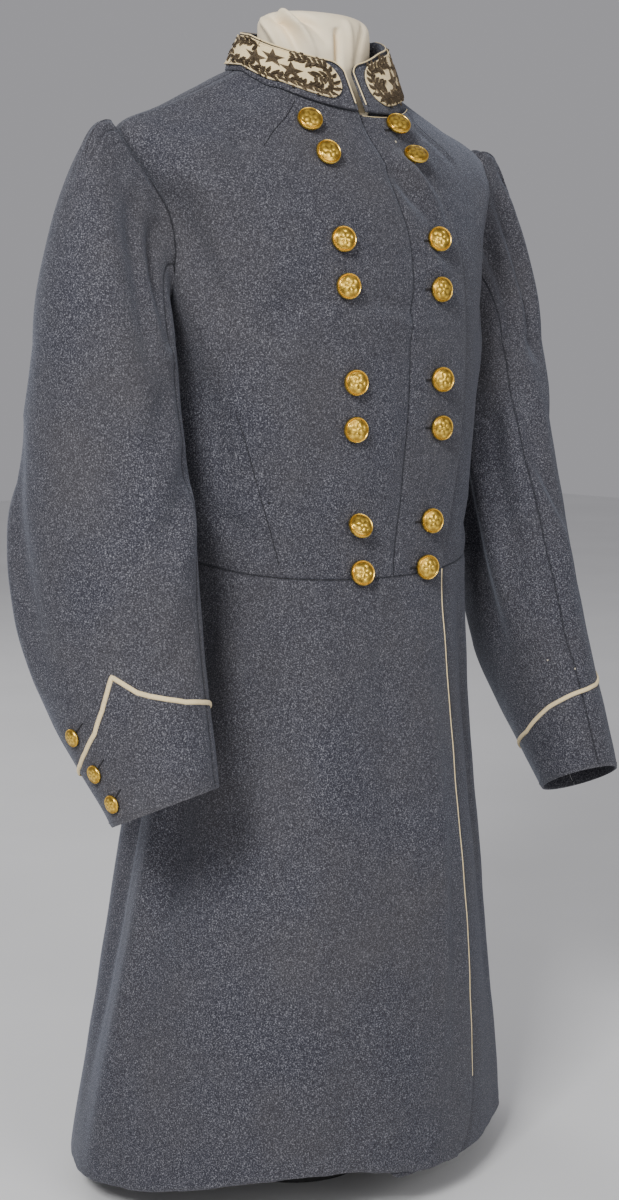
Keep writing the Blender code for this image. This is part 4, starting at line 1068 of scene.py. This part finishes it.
lapel_seam = seam("lapel_seam")
lapel_edge = seam("lapel_edge")
side_back = seam("side_back")
SEWN, LOOSE, AT_NECK, TO_HEM = (HALF, HALF), (HALF, 0.0), (0.0, HALF), (0.0, 0.0)
Strip = namedtuple("Strip", "name rows start stop step gaps ends lift held free top bottom")
STRIPS = [
    Strip("forepart_right", FRONT_ROWS, flip(forepart_outer), lapel_seam, FINE, SEWN, AT_NECK,
          lap, "draped", "neck", None, None),
    Strip("forepart_left", FRONT_ROWS, flip(lapel_seam), forepart_outer, FINE, SEWN, AT_NECK,
          flat, "draped", "neck", None, None),
    Strip("lapel_right", FRONT_ROWS, lapel_seam, lapel_cloth, FINE, LOOSE, AT_NECK,
          lap, "draped", "neck last", lapel_top, None),
    Strip("lapel_left", FRONT_ROWS, flip(under_lapel), flip(lapel_seam), BROAD, SEWN, AT_NECK,
          flat, "draped", "neck first", under_lapel_top, None),
    Strip("side_body_right", SIDE_ROWS, flip(side_back), flip(side_front), FINE, SEWN, SEWN,
          flat, "draped", "", None, None),
    Strip("side_body_left", SIDE_ROWS, side_front, side_back, FINE, SEWN, SEWN,
          flat, "draped", "", None, None),
    Strip("back_right", BACK_ROWS, flip(centre_back), flip(back_outer), BROAD, SEWN, TO_HEM,
          flat, "draped", "neck foot", None, hem_rise),
    Strip("back_left", BACK_ROWS, back_outer, centre_back, BROAD, SEWN, TO_HEM,
          flat, "draped", "neck foot", None, hem_rise),
    Strip("skirt_right", SKIRT_ROWS, flip(side_back), skirt_cloth, BROAD, LOOSE, LOOSE,
          lap, "hung", "foot last", None, hem_rise),
    Strip("skirt_left", SKIRT_ROWS, flip(skirt_edge), side_back, BROAD, SEWN, LOOSE,
          flat, "hung", "foot first", None, hem_rise),
]
for row in STRIPS:
    spots = strip_spots(row.rows, row.start, row.stop, row.step, row.gaps, row.ends,
                        top=row.top, bottom=row.bottom)
    strip(row.name, spots, row.lift, row.free)


def edge_piping(name, rows, low, high, proud, top=None):
    """A light edge of the right front, "proud" being its height as a share of the wool's."""
    rows = edged(body, 20.0, rows)
    share = np.linspace(0, 1, 7)
    r = np.repeat(rows[:, None], len(share), axis=1)
    if top is not None:
        depth = (r - r[0]) / (r[-1] - r[0])
        r = r + top(1.0) * (1 - depth) ** 6
    u = (low(r) + gap_in_degrees(body, low, r, HALF)) * (1 - share) + high(r) * share
    base, normal = on_body(u, r, lap(u, r))
    inner = base + normal * (body_relief(base) * at_collar(r))[..., None]
    round_off = np.sqrt(np.clip(1 - (2 * share - 1) ** 2, 0.06, 1))
    outer = inner + normal * (CLOTH * (0.25 + (proud - 0.25) * round_off))[None, :, None]
    rub = 0.5 * (1 - round_off)[None, :] + np.zeros(r.shape)
    return piece(name, np.concatenate([outer.reshape(-1, 3), inner.reshape(-1, 3)]),
                 wall_faces(*r.shape), BUFF, [name], edge=np.stack([rub, rub]))


edge_piping("lapel_piping", FRONT_ROWS, lapel_lining, lapel_edge, 0.66, top=lapel_top)
edge_piping("skirt_piping", np.linspace(9.003, 13.42, 150), skirt_lining, skirt_edge, 1.0)

# Sleeves
SLEEVE_ROWS = np.concatenate([np.linspace(-1, -0.6, 36)[:-1], np.linspace(-0.6, 0, 30)[:-1],
                              np.linspace(0, CUFF, 112)])


def sleeve_relief(side, points):
    return creased(points, lambda v, t: sleeve(side, v if side == "right" else -v, t),
                   SLEEVE_CREASES[side]) + uneven(points, 0.0008)


for side in SIDES:
    rows = edged(lambda w, t: sleeve(side, w, t), 0.0, SLEEVE_ROWS)[:, None]
    fore, hind = sleeve_seam(FORE_SEAM, rows), sleeve_seam(HIND_SEAM, rows)
    for name, low, high, width in (("top", hind, fore, 0.215), ("under", fore, hind + 360, 0.170)):
        share = shares(width, FINE)
        v = (low + 0.12) * (1 - share) + (high - 0.12) * share
        w = v if side == "right" else -v[:, ::-1]
        t = rows + 0 * w
        base = sleeve(side, w, t)
        normal = sleeve_normals(side, w, t)
        hole = armhole(v, inside=SLEEVE_INSIDE)
        joined = body_relief(body(SIGN[side] * hole[0], hole[1])) * (1 - smooth_step((t + 1) / 0.3))
        relief = sleeve_relief(side, base) * smooth_step((t + 1) / 0.12) + joined
        inner = base + normal * relief[..., None]
        node_name = f"sleeve_{name}_{side}"
        made = wall(node_name, inner, normal, CLOTH, WOOL, [node_name], sewn=0.0009, free="foot")
        cut(inner)


def sleeve_spot(side, v, height):
    """The place on a sleeve's outer face at v degrees, a height above the cuff's end."""
    w = np.asarray(v if side == "right" else -np.asarray(v), float)
    t = CUFF - np.asarray(height) / sleeve_length(side)
    base, normal = sleeve(side, w, t), sleeve_normals(side, w, t)
    lift = sleeve_relief(side, base) + CLOTH
    return base + normal * lift[..., None], normal


def laid_cord(name, centre, normal, wide, high, finish, nodes=()):
    """A half-round cord laid on cloth along a line of points."""
    run = np.gradient(centre, axis=0)
    side = unit(np.cross(normal, run))
    turn = np.linspace(0, math.pi, 9)[:, None, None]
    top = centre + side * np.cos(turn) * wide / 2 + normal * (np.sin(turn) * high + 0.0001)
    grid = np.moveaxis(top, 0, 1)
    rows, columns = grid.shape[:2]
    index = np.arange(rows * columns).reshape(rows, columns)
    index = np.hstack([index, index[:, :1]])
    faces = quads(index)[:, ::-1].tolist()
    faces += [index[0, :-1].tolist(), index[-1, :-1][::-1].tolist()]
    return piece(name, grid, faces, finish, nodes, edge=np.full((rows, columns), 0.2),
                 thread=np.repeat(np.arange(rows)[:, None], columns, axis=1) * 0.33)


for side in SIDES:
    v = np.concatenate([np.linspace(HIND_SEAM[1] + 0.8, CUFF_POINT, 110),
                        np.linspace(CUFF_POINT, HIND_SEAM[1] + 359.2, 330)[1:]])
    centre, normal = sleeve_spot(side, v, cuff_height(v))
    laid_cord(f"cuff_piping_{side}", centre, normal, CUFF_PIPING, 0.0015, BUFF,
              [f"cuff_piping_{side}"])

for side in SIDES:
    for k, spot in enumerate(CUFF_BUTTONS):
        v = spot.turn + np.linspace(4.5, 15, 9)
        centre, normal = sleeve_spot(side, v, spot.height + np.linspace(0.003, 0.009, 9))
        laid_cord(f"cuff_buttonhole_{side}_{k + 1}", centre, normal, 0.0016, 0.0005, DARK_THREAD_AND_SHADE)
    v = np.linspace(0, 360, 241)[:-1]
    centre, normal = sleeve_spot(side, v, 0.0045 + 0 * v)
    laid_cord(f"cuff_hem_fold_{side}", centre, normal, 0.0011, 0.0002, WOOL)


# Collar
def collar_out(u, h, high):
    """A point above the collar's inner face, and the normal there."""
    normal = collar_normals(u, h)
    return collar(u, h) + normal * np.asarray(high)[..., None], normal


def from_end(u):
    arc = np.interp(u, COLLAR_FINE, COLLAR_ARC)
    return np.minimum(arc, COLLAR_LENGTH - arc)


def collar_height(u):
    """The share of its full height that the collar has at u, rounded off at its ends."""
    slack = np.clip(1 - from_end(u) / COLLAR_ROUND, 0, 1)
    return 1 - COLLAR_ROUND / COLLAR_HIGH * (1 - np.sqrt(1 - slack ** 2))


close = np.array([0, 0.0004, 0.001, 0.002, 0.0035, 0.0055, 0.008, 0.011, 0.0145])
u = np.concatenate([collar_angle("left", close),
                    collar_angle("left", np.linspace(0.018, COLLAR_LENGTH - 0.018, 120)),
                    collar_angle("right", close)[::-1]])
share = shares(COLLAR_HIGH, FINE)[::-1]
h = (share * (1 + COLLAR_FOOT) - COLLAR_FOOT)[:, None] * collar_height(u)
u = np.repeat(u[None, :], len(share), axis=0)
base = collar(u, h)
normal = collar_normals(u, h)
made = wall("collar", base, normal, COLLAR_CLOTH, WOOL, ["collar"], sewn=0.0003, free="first last")
cut(base)

# The thin light line along the collar's upper and front edges, and a dark cord of painted shade a little
# further in, standing for the shade of a fold there
run = np.concatenate([np.full(12, 0.0), np.linspace(0.0, COLLAR_LENGTH, 300), np.full(12, COLLAR_LENGTH)])
climb = np.concatenate([np.linspace(0.12, 0.96, 12), np.ones(300), np.linspace(0.96, 0.12, 12)])
u = np.interp(np.clip(run, 0.0012, COLLAR_LENGTH - 0.0012), COLLAR_ARC, COLLAR_FINE)
h = climb * collar_height(u)
# the dark one of these two cords is painted shade for the collar's fold
for name, drop, wide, high, finish in (("collar_edge_line", 0.020, 0.0014, 0.0006, BUFF),
                                       ("collar_edge_fold", 0.062, 0.0010, 0.0003, DARK_THREAD_AND_SHADE)):
    inside = np.clip(h - drop, 0.02, 1)
    u_in = np.interp(np.clip(np.interp(u, COLLAR_FINE, COLLAR_ARC), drop * 0.05,
                             COLLAR_LENGTH - drop * 0.05), COLLAR_ARC, COLLAR_FINE)
    centre, normal = collar_out(u_in, inside, COLLAR_CLOTH)
    laid_cord(name, centre, normal, wide, high, finish)

PANEL_MIDDLE = (PANEL_LOW + PANEL_HIGH) / 2
PANEL_HALF = (PANEL_HIGH - PANEL_LOW) / 2
ON_PANEL = COLLAR_CLOTH + PANEL_CLOTH + 2 * LAY_GAP


def on_panel(side, arc, high_share, lift=0.0):
    """A place on a light panel: distance from the collar's end, height share and lift."""
    u = collar_angle(side, arc)
    return collar_out(u, high_share + 0 * u, ON_PANEL + lift + 0 * u)


def relief(name, side, shape, nodes=()):
    """A small raised piece on a panel: its points' places there, its threads and its faces."""
    arc, up, lift, thread, faces = shape
    points = on_panel(side, arc, up, lift)[0]
    if side == "left":
        faces = [face[::-1] for face in faces]
    return piece(name, points, faces, BULLION, nodes, crease=60, thread=thread)


def leaf(foot, turn, length, width, steps=9):
    """A pointed leaf with a sunk vein, as places on a panel and faces."""
    arc, up, lift, thread, faces = [], [], [], [], []
    for i in range(steps):
        t = i / (steps - 1)
        half = width / 2 * np.sin(np.pi * t ** 0.8) ** 0.9 + 0.00004
        bend = 0.16 * length * np.sin(np.pi * t)
        for j, across in enumerate((-1.0, -0.55, 0.0, 0.55, 1.0)):
            x, y = t * length, across * half + bend * 0.3
            arc.append(foot[0] + x * np.cos(turn) - y * np.sin(turn))
            up.append(foot[1] + (x * np.sin(turn) + y * np.cos(turn)) / COLLAR_HIGH)
            tall = (0.00005, 0.00125, 0.00050, 0.00125, 0.00005)[j]
            lift.append(tall * min(1, 4 * np.sin(np.pi * t) + 0.2))
            thread.append(x * 1500 + abs(y) * 1900)
            if i and j:
                a, b = i * 5 + j, (i - 1) * 5 + j
                faces.append([b - 1, b, a, a - 1])
    return np.array(arc), np.array(up), np.array(lift), np.array(thread), faces


def berry(middle, radius):
    """A small round berry."""
    arc, up, lift, faces = [middle[0]], [middle[1]], [radius * 0.95], []
    for i, tilt in enumerate((30, 60, 90)):
        for k in range(10):
            turn = 2 * np.pi * k / 10
            arc.append(middle[0] + radius * np.sin(np.radians(tilt)) * np.cos(turn))
            up.append(middle[1] + radius * np.sin(np.radians(tilt)) * np.sin(turn) / COLLAR_HIGH)
            lift.append(radius * 0.95 * np.cos(np.radians(tilt)))
            a, b = 1 + i * 10 + k, 1 + i * 10 + (k + 1) % 10
            faces.append([0, a, b] if i == 0 else [a - 10, a, b, b - 10])
    thread = 0.3 * np.arange(len(arc))
    return np.array(arc), np.array(up), np.array(lift), thread, faces


def star(middle, radius):
    """A five-pointed star with a ridge down each point, sewn in rows of metal thread."""
    arc, up, lift, thread, faces = [middle[0]], [middle[1]], [0.0020], [0.0], []
    for k in range(10):
        turn = np.radians(90 + 36 * k)
        reach = radius if k % 2 == 0 else radius * 0.42
        for share_out, tall in ((0.55, 0.0017 if k % 2 == 0 else 0.0008), (1.0, 0.0003)):
            arc.append(middle[0] + reach * share_out * np.cos(turn))
            up.append(middle[1] + reach * share_out * np.sin(turn) / COLLAR_HIGH)
            lift.append(tall)
            thread.append(share_out * 7.0)
    for k in range(10):
        a, b = 1 + 2 * k, 1 + 2 * ((k + 1) % 10)
        faces += [[0, a, b], [a, a + 1, b + 1, b]]
    foot = len(arc)
    for k in range(10):
        arc.append(arc[2 + 2 * k])
        up.append(up[2 + 2 * k])
        lift.append(0.0)
        thread.append(7.0)
        faces.append([2 + 2 * k, foot + k, foot + (k + 1) % 10, 2 + 2 * ((k + 1) % 10)])
    return np.array(arc), np.array(up), np.array(lift), np.array(thread), faces


def wreath_runs():
    """The stems' places: the long one round the front, the rear sprig and the one inside."""
    low, high = PANEL_LOW + 0.13, PANEL_HIGH - 0.12
    middle, half = (low + high) / 2, (high - low) / 2
    bend = np.linspace(0, math.pi, 14)[1:-1]
    foot_run, top_run = np.linspace(0.118, 0.028, 37), np.linspace(0.028, 0.060, 13)
    arc = np.concatenate([foot_run, 0.028 - 0.0080 * np.sin(bend), top_run])
    up = np.concatenate([np.full(37, low), middle - half * np.cos(bend), np.full(13, high)])
    rear, rear_bend = np.linspace(0.088, 0.114, 11), np.linspace(0, math.pi * 0.86, 10)[1:]
    sprig = np.concatenate([rear, 0.114 + 0.0095 * np.sin(rear_bend)])
    sprig_up = np.concatenate([np.full(11, high), middle + half * np.cos(rear_bend)])
    inward = np.linspace(0.0225, 0.0385, 7)
    return ((arc, up + 0.012 * np.sin(arc * 420)), (sprig, sprig_up + 0.010 * np.sin(sprig * 390)),
            (inward, middle + 0.05 * np.cos((inward - 0.0225) * 160)))


for side in SIDES:
    bend = np.array([0.0002, 0.0007, 0.0015, 0.0028, 0.0045, 0.0065, 0.009, 0.012, 0.0148, PANEL_ROUND])
    run = np.concatenate([bend, np.linspace(PANEL_ROUND, COLLAR_LENGTH / 2 - 0.0129, 60)[1:]])
    half = PANEL_HALF * np.sqrt(1 - np.clip(1 - run / PANEL_ROUND, 0, 1) ** 2)
    u = collar_angle(side, PANEL_INSET + run)
    if side == "right":
        u, half = u[::-1], half[::-1]
    share = shares(2 * PANEL_HALF * COLLAR_HIGH, FINE)
    h = PANEL_MIDDLE + (1 - 2 * share)[:, None] * half
    u = np.repeat(u[None, :], len(share), axis=0)
    base, normal = collar_out(u, h, COLLAR_CLOTH + 2 * LAY_GAP + 0 * u)
    node_name = f"collar_panel_{side}"
    made = wall(node_name, base, normal, PANEL_CLOTH, BUFF, [node_name], sewn=0.0)
    cut(base)
    rim_arc = np.concatenate([(PANEL_INSET + run)[::-1], PANEL_INSET + run])
    rim_up = np.concatenate([PANEL_MIDDLE - (half if side == "left" else half[::-1])[::-1],
                             PANEL_MIDDLE + (half if side == "left" else half[::-1])])
    centre, normal = on_panel(side, rim_arc, PANEL_MIDDLE + (rim_up - PANEL_MIDDLE) * 0.97, -0.0003)
    laid_cord(f"panel_rim_{side}", centre, normal, 0.0013, 0.0008, BUFF)

    for run_name, (stem_arc, stem_up) in zip(("long", "rear", "inner"), wreath_runs()):
        centre, normal = on_panel(side, stem_arc, stem_up)
        laid_cord(f"wreath_stem_{run_name}_{side}", centre, normal, 0.0010, 0.0008, BULLION)
        heading = np.arctan2(np.gradient(stem_up) * COLLAR_HIGH, np.gradient(stem_arc))
        for k in range(1, len(stem_arc) - 1, 2):
            for hand in (1, -1):
                open_angle = hand * (0.80 + 0.20 * np.sin(3.1 * k + 1.7 * hand))
                length = 0.0092 + 0.0014 * np.sin(2.3 * k + hand)
                shape = leaf((stem_arc[k], stem_up[k]), heading[k] + open_angle, length, 0.0042)
                way = "in" if hand > 0 else "out"
                relief(f"wreath_leaf_{run_name}_{side}_{k}_{way}", side, shape)
            if k % 4 == 1:
                out = heading[k] + math.pi / 2 * (1 if k % 8 == 1 else -1) + 0.45
                reach = 0.0078 if k % 8 == 1 else 0.0055
                spot = (stem_arc[k] + reach * np.cos(out), stem_up[k] + reach * np.sin(out) / COLLAR_HIGH)
                relief(f"wreath_berry_{run_name}_{side}_{k}", side, berry(spot, 0.0013))
                stalk = np.linspace(0, 1, 6)
                centre, normal = on_panel(side, stem_arc[k] + (spot[0] - stem_arc[k]) * stalk,
                                          stem_up[k] + (spot[1] - stem_up[k]) * stalk)
                laid_cord(f"wreath_stalk_{run_name}_{side}_{k}", centre, normal, 0.0006, 0.0005, BULLION)
    for k, spot in enumerate(STARS):
        star_name = f"collar_star_{side}_{k + 1}"
        relief(star_name, side, star(spot, 1.14 * STAR_RADIUS), [star_name])


# Buttons
def button_face(x, y):
    """The height of a stamped flower with five petals, leaves between them and a dotted ground."""
    r = np.hypot(x, y)
    turn = np.arctan2(y, x)
    petals = np.exp(-((r - 0.36) / 0.17) ** 2) * (0.5 + 0.5 * np.cos(5 * turn)) ** 0.7
    leaves = np.exp(-((r - 0.62) / 0.10) ** 2) * (0.5 + 0.5 * np.cos(5 * turn + math.pi)) ** 2
    heart = np.exp(-(r / 0.13) ** 2)
    beads = np.exp(-((r - 0.80) / 0.035) ** 2) * (0.5 + 0.5 * np.cos(34 * turn))
    return 0.75 * petals + 0.8 * leaves + 0.7 * heart + 0.35 * beads


def tilted(normal, turn, nod):
    """A normal turned towards the wearer's right and nodded upwards, in degrees."""
    side, up = axes(normal)
    return unit(normal - side * math.tan(math.radians(turn)) + up * math.tan(math.radians(nod)))


FACE_RINGS = 18          # rings of the stamped face, before the rim's
BUTTON_OUT = [0.0, 0.05, 0.1, 0.15, 0.2, 0.25, 0.3, 0.35, 0.4, 0.45, 0.5, 0.55, 0.6, 0.65, 0.7,
              0.75, 0.8, 0.84, 0.87, 0.90, 0.94, 0.98, 1.0, 0.99, 0.94, 0.86, 0.60, 0.20, 0.17]
BUTTON_HIGH = [0.0061 - 0.0022 * r ** 2.2 for r in BUTTON_OUT[:FACE_RINGS]]
BUTTON_HIGH += [0.0039, 0.0044, 0.0045, 0.0039, 0.0028, 0.0018, 0.0009, 0.0004, 0.0006, 0.0006]
STAMP_HIGH = 0.0007


def button(name, spot, normal, radius, turn, shank=0.001):
    """A domed button with a raised rim and a stamped face, and the shank under it."""
    side, up = axes(normal)
    scale = radius / COAT_BUTTON
    high = BUTTON_HIGH + [-shank / scale]
    columns = 60
    angles = 2 * np.pi * np.arange(columns) / columns
    points, hollow = [], []
    for k, (wide, tall) in enumerate(zip(BUTTON_OUT, high)):
        x, y = wide * np.cos(angles), wide * np.sin(angles)
        turned = x * np.cos(turn) - y * np.sin(turn), x * np.sin(turn) + y * np.cos(turn)
        stamped = button_face(*turned) if k < FACE_RINGS else np.zeros(columns)
        lift = (tall + STAMP_HIGH * stamped) * scale
        points.append(spot + np.outer(x, side) * radius + np.outer(y, up) * radius
                      + np.outer(lift, normal))
        if k < FACE_RINGS:
            hollow.append(0.75 * np.clip(1 - 2.1 * stamped, 0, 1))
        else:
            hollow.append(np.full(columns, 0.15 if k < FACE_RINGS + 6 else 0.65))
    index = np.arange(len(high) * columns).reshape(len(high), columns)
    index = np.hstack([index, index[:, :1]])
    faces = quads(index).tolist() + [index[-1, :-1][::-1].tolist()]
    piece(name, np.array(points), faces, GILT, [name], crease=55, hollow=np.clip(hollow, 0, 1))


for k, (name, spot, normal, u, ring) in enumerate(BUTTON_SPOTS):
    lean = (0, 0)
    if name.startswith("front_button"):
        row, hand = BUTTONS[int(name[-1]) - 1], name.split("_")[2]
        lean = getattr(row, hand + "_turn"), getattr(row, hand + "_nod")
    facing = tilted(normal, *lean)
    clear = 0.9 * COAT_BUTTON * math.sqrt(max(1 - float(facing @ normal) ** 2, 0))
    sink = float(body_relief(spot[None])[0])
    button(name, spot + facing * (clear + 0.0003) + normal * sink, facing, COAT_BUTTON,
           0.5 * math.sin(2.1 * k), shank=clear + 0.002)
for side in SIDES:
    for k, place_out in enumerate(CUFF_BUTTONS):
        spot, normal = sleeve_spot(side, np.array(place_out.turn), place_out.height)
        button(f"cuff_button_{side}_{k + 1}", spot + normal * 0.0004, normal, CUFF_BUTTON, 0.7 * k)

# Buttonholes of the upper front, worked in dark sewing thread on the wearer's right of the buttons
for name, spot, normal, u, ring in BUTTON_SPOTS:
    if name.startswith("front_button_left"):
        line = np.linspace(-0.5, 1, 12)
        angle = u - degrees(0.0145, np.array(ring)) * (0.75 + 0.55 * line)
        base, across = on_body(angle, np.full(12, ring), lap(angle, ring) + CLOTH)
        base = base + across * body_relief(base)[..., None]
        laid_cord(name.replace("front_button", "buttonhole"), base, across, 0.0024, 0.0006, DARK_THREAD_AND_SHADE)


# The darts' lines, dark cords of painted shade along each dart's seam, and the light hair line on the
# lapel's upper edge
def trim_and_shade_line(name, u, r, wide, high, finish):
    """A fine raised line on the body's cloth."""
    base, across = on_body(u, r, lap(u, r) + CLOTH)
    base = base + across * (body_relief(base) * at_collar(r) - 0.0001)[..., None]
    laid_cord(name, base, across, wide, high, finish)


for k, dart in enumerate(DARTS):
    u, r = bent(*dart, 40)
    for side in SIDES:
        # painted shade: a dark cord stands for the shade along the dart's seam
        trim_and_shade_line(f"dart_{side}_{k + 1}", SIGN[side] * u, r, 0.0006, 0.0002, DARK_THREAD_AND_SHADE)
t = np.linspace(0.02, 0.98, 50)
r = lapel_top(t) + 0.03
trim_and_shade_line("lapel_top_line", lapel_seam(r) * (1 - t) + lapel_cloth(r) * t, r, 0.0006, 0.0002, BUFF)


# Form, neck cloth and stand
def neck_profile(turn, share_down):
    """The neck cover's outer face, from the middle of its top to the neck seam."""
    spots = [[0.0, 0.0, 0.0062, 1.0945], [0.012, 0.007, 0.0062, 1.0944],
             [0.026, 0.015, 0.0061, 1.0940], [0.0472, 0.0272, 0.0060, 1.0925]]
    spots += [[row.wide + 0.0014, row.deep + 0.0014, row.y, row.z] for row in NECK_RINGS[::-1][1:]]
    rows = len(spots)
    at = share_down * rows
    wide, deep, y, z = np.moveaxis(along(spots, np.minimum(at, rows - 1)), -1, 0)
    s, c = np.sin(np.radians(turn)), np.cos(np.radians(turn))
    upper = np.stack([wide * s, y - deep * c, z], axis=-1)
    foot = oval(turn, [np.full(np.shape(turn), number) for number in NECK_FOOT[1:]])
    foot = foot + np.stack([s, -c, 4.0 + 0 * s], axis=-1) * LAY_GAP
    foot = foot + np.stack([s, -c, 0 * s], axis=-1) * NECK_CLOTH
    below = smooth_step(np.clip(at - (rows - 1), 0, 1))[..., None]
    return upper * (1 - below) + foot * below


NeckFold = namedtuple("NeckFold", "start middle end width depth")
NECK_FOLDS = [
    NeckFold((-88, 0.50), (-62, 0.66), (-38, 0.90), 0.0042, -0.0034),
    NeckFold((-76, 0.46), (-52, 0.62), (-26, 0.86), 0.0036, 0.0032),
    NeckFold((-70, 0.40), (-44, 0.55), (-14, 0.80), 0.0040, -0.0028),
    NeckFold((-100, 0.56), (-78, 0.72), (-56, 0.92), 0.0036, 0.0026),
    NeckFold((-6, 0.66), (-4, 0.80), (-3, 0.97), 0.0030, -0.0040),
    NeckFold((6, 0.52), (8, 0.68), (12, 0.90), 0.0050, 0.0012),
    NeckFold((44, 0.50), (30, 0.68), (16, 0.92), 0.0042, -0.0014),
    NeckFold((70, 0.54), (84, 0.70), (96, 0.90), 0.0045, -0.0016),
    NeckFold((140, 0.48), (150, 0.64), (156, 0.88), 0.0046, -0.0018),
    NeckFold((-150, 0.50), (-140, 0.66), (-128, 0.90), 0.0044, -0.0018),
    NeckFold((178, 0.52), (184, 0.68), (188, 0.88), 0.0046, 0.0014),
]

turn, down = np.meshgrid(np.linspace(-180, 180, 181)[:-1], np.linspace(0.02, 1, 74))
base = neck_profile(turn, down)
normal = normals(neck_profile, turn, down)
base = base + normal * (creased(base, neck_profile, NECK_FOLDS) + uneven(base, 0.0004))[..., None]
made = wall("neck_cover", base - normal * NECK_CLOTH, normal, NECK_CLOTH, LINEN, ["neck_cover"],
            loop=True, sewn=0.0)
cut(base)


def closed(name, rings, finish, nodes, **attributes):
    """A closed solid of rings, each end closed with one face."""
    rings = np.asarray(rings)
    count, columns = rings.shape[:2]
    index = np.arange(count * columns).reshape(count, columns)
    wrapped = np.hstack([index, index[:, :1]])
    faces = quads(wrapped).tolist() + [index[0][::-1].tolist(), index[-1].tolist()]
    return piece(name, rings, [face[::-1] if k < len(faces) - 2 else face
                               for k, face in enumerate(faces)], finish, nodes, **attributes)


def speck(name, spot, normal, radius, finish):
    """A small oval spot on the cloth: a dark one is painted shade standing for the inside of an uncut
    moth hole, a light one a bit of lint.
    """
    side, up = axes(normal)
    turn = np.linspace(0, 2 * np.pi, 11)[:-1]
    ring = np.outer(np.cos(turn), side) + 1.3 * np.outer(np.sin(turn), up)
    rings = [spot + radius * wide * ring + normal * high
             for wide, high in ((0.4, 0.00035), (0.8, 0.00025), (1.0, -0.0002))]
    closed(name, rings, finish, [])


# the moth holes are not cut: each is a dark speck of painted shade where the hole's inside would lie in
# shade
for name, (u, r), radius, finish in (("moth_hole_1", HOLES[0], 0.0011, DARK_THREAD_AND_SHADE),
                                     ("moth_hole_2", HOLES[1], 0.0011, DARK_THREAD_AND_SHADE),
                                     ("thread_end", THREAD_END, 0.0010, LIGHT_THREAD)):
    spot, normal = on_body(u, r, lap(np.array(u), r) + CLOTH)
    speck(name, spot + normal * float(body_relief(spot[None])[0]), normal, radius, finish)
for k, (v, height) in enumerate(LINT):
    spot, normal = sleeve_spot("left", np.array(v), height)
    speck(f"lint_{k + 1}", spot, normal, 0.0007, LIGHT_THREAD)

around = np.arange(-180.0, 180.0, 3.0)
heights = np.linspace(0.3, FORM_FOOT, 120)
torso = []
for r in heights:
    ring = np.full(around.shape, float(r))
    off = SEAT_GAP + 0.0006 + np.interp(r, EASE_RINGS, EASE)
    torso.append(body(around, ring) - normals(body, around, ring) * off)
torso[-1][:, 2] = FORM_FOOT_HEIGHT
made = closed("form_torso", torso, LINEN, ["form_torso"])

circle = np.linspace(0, 2 * np.pi, 97)[:-1]


def disc(radius, z):
    return np.stack([radius * np.cos(circle), FORM_CENTRE + radius * np.sin(circle),
                     np.full(circle.shape, z)], axis=-1)


pole = [(POLE_RADIUS, FORM_FOOT_HEIGHT - SEAM_GAP), (POLE_RADIUS, 0.062), (0.0165, 0.060),
        (0.0175, 0.056), (0.0175, 0.026), (0.021, 0.020), (0.024, BASE_THICK + SEAM_GAP)]
closed("pole", [disc(*row) for row in pole], STEEL, ["pole"], crease=35)
foot = [(0.030, BASE_THICK), (BASE_RADIUS - 0.008, BASE_THICK - 0.0010), (BASE_RADIUS - 0.003, 0.0115),
        (BASE_RADIUS - 0.0008, 0.0090), (BASE_RADIUS, 0.0060), (BASE_RADIUS, 0.0008),
        (BASE_RADIUS - 0.0008, 0.0)]
closed("base", [disc(*row) for row in foot], STEEL, ["base"], crease=35)

# Floor, light and camera
floor_mesh = bpy.data.meshes.new("floor")
floor_mesh.from_pydata([(-6, -6, 0), (6, -6, 0), (6, 6, 0), (-6, 6, 0)], [], [(0, 1, 2, 3)])
floor = bpy.data.objects.new("floor", floor_mesh)
bpy.context.scene.collection.objects.link(floor)
floor_finish, floor_tree, floor_shader = material("pale floor", Roughness=0.85)
floor_tree.links.new(ramp(floor_tree, noise(floor_tree, 3, detail=3),
                          [(0.3, (0.80, 0.80, 0.80)), (0.7, (0.84, 0.84, 0.84))]),
                     floor_shader.inputs["Base Color"])
floor_mesh.materials.append(floor_finish)

world = bpy.data.worlds.new("studio")
world.use_nodes = True
world.node_tree.nodes["Background"].inputs["Color"].default_value = (0.96, 0.95, 1.0, 1)
world.node_tree.nodes["Background"].inputs["Strength"].default_value = 0.36
bpy.context.scene.world = world


def aimed(name, data, spot, turn):
    """Put a lamp or a camera into the scene."""
    made = bpy.data.objects.new(name, data)
    made.location = spot
    made.rotation_euler = turn
    bpy.context.scene.collection.objects.link(made)
    return made


Lamp = namedtuple("Lamp", "name spot aim size power")
LAMPS = [
    Lamp("key", (-2.35, -1.25, 2.3), (0, 0, 0.6), 0.8, 88),
    Lamp("fill", (-0.3, -3.1, 1.7), (0, 0, 0.6), 1.6, 28),
    Lamp("rim", (0.2, 2.9, 2.2), (0, 0, 0.7), 1.6, 24),
]
for lamp in LAMPS:
    light = bpy.data.lights.new(lamp.name, "AREA")
    light.energy = lamp.power
    light.size = lamp.size
    way = Vector(lamp.aim) - Vector(lamp.spot)
    aimed(lamp.name, light, lamp.spot, way.to_track_quat("-Z", "Y").to_euler())

CAMERA_SPOT = (-1.2539, -1.3255, 0.820)
CAMERA_TILT = 81.73      # degrees up from straight down
CAMERA_TURN = -43.9
camera = bpy.data.cameras.new("camera")
camera.lens = 57.66
camera.sensor_width = 36
bpy.context.scene.camera = aimed(
    "camera", camera, CAMERA_SPOT, (math.radians(CAMERA_TILT), 0, math.radians(CAMERA_TURN))
)
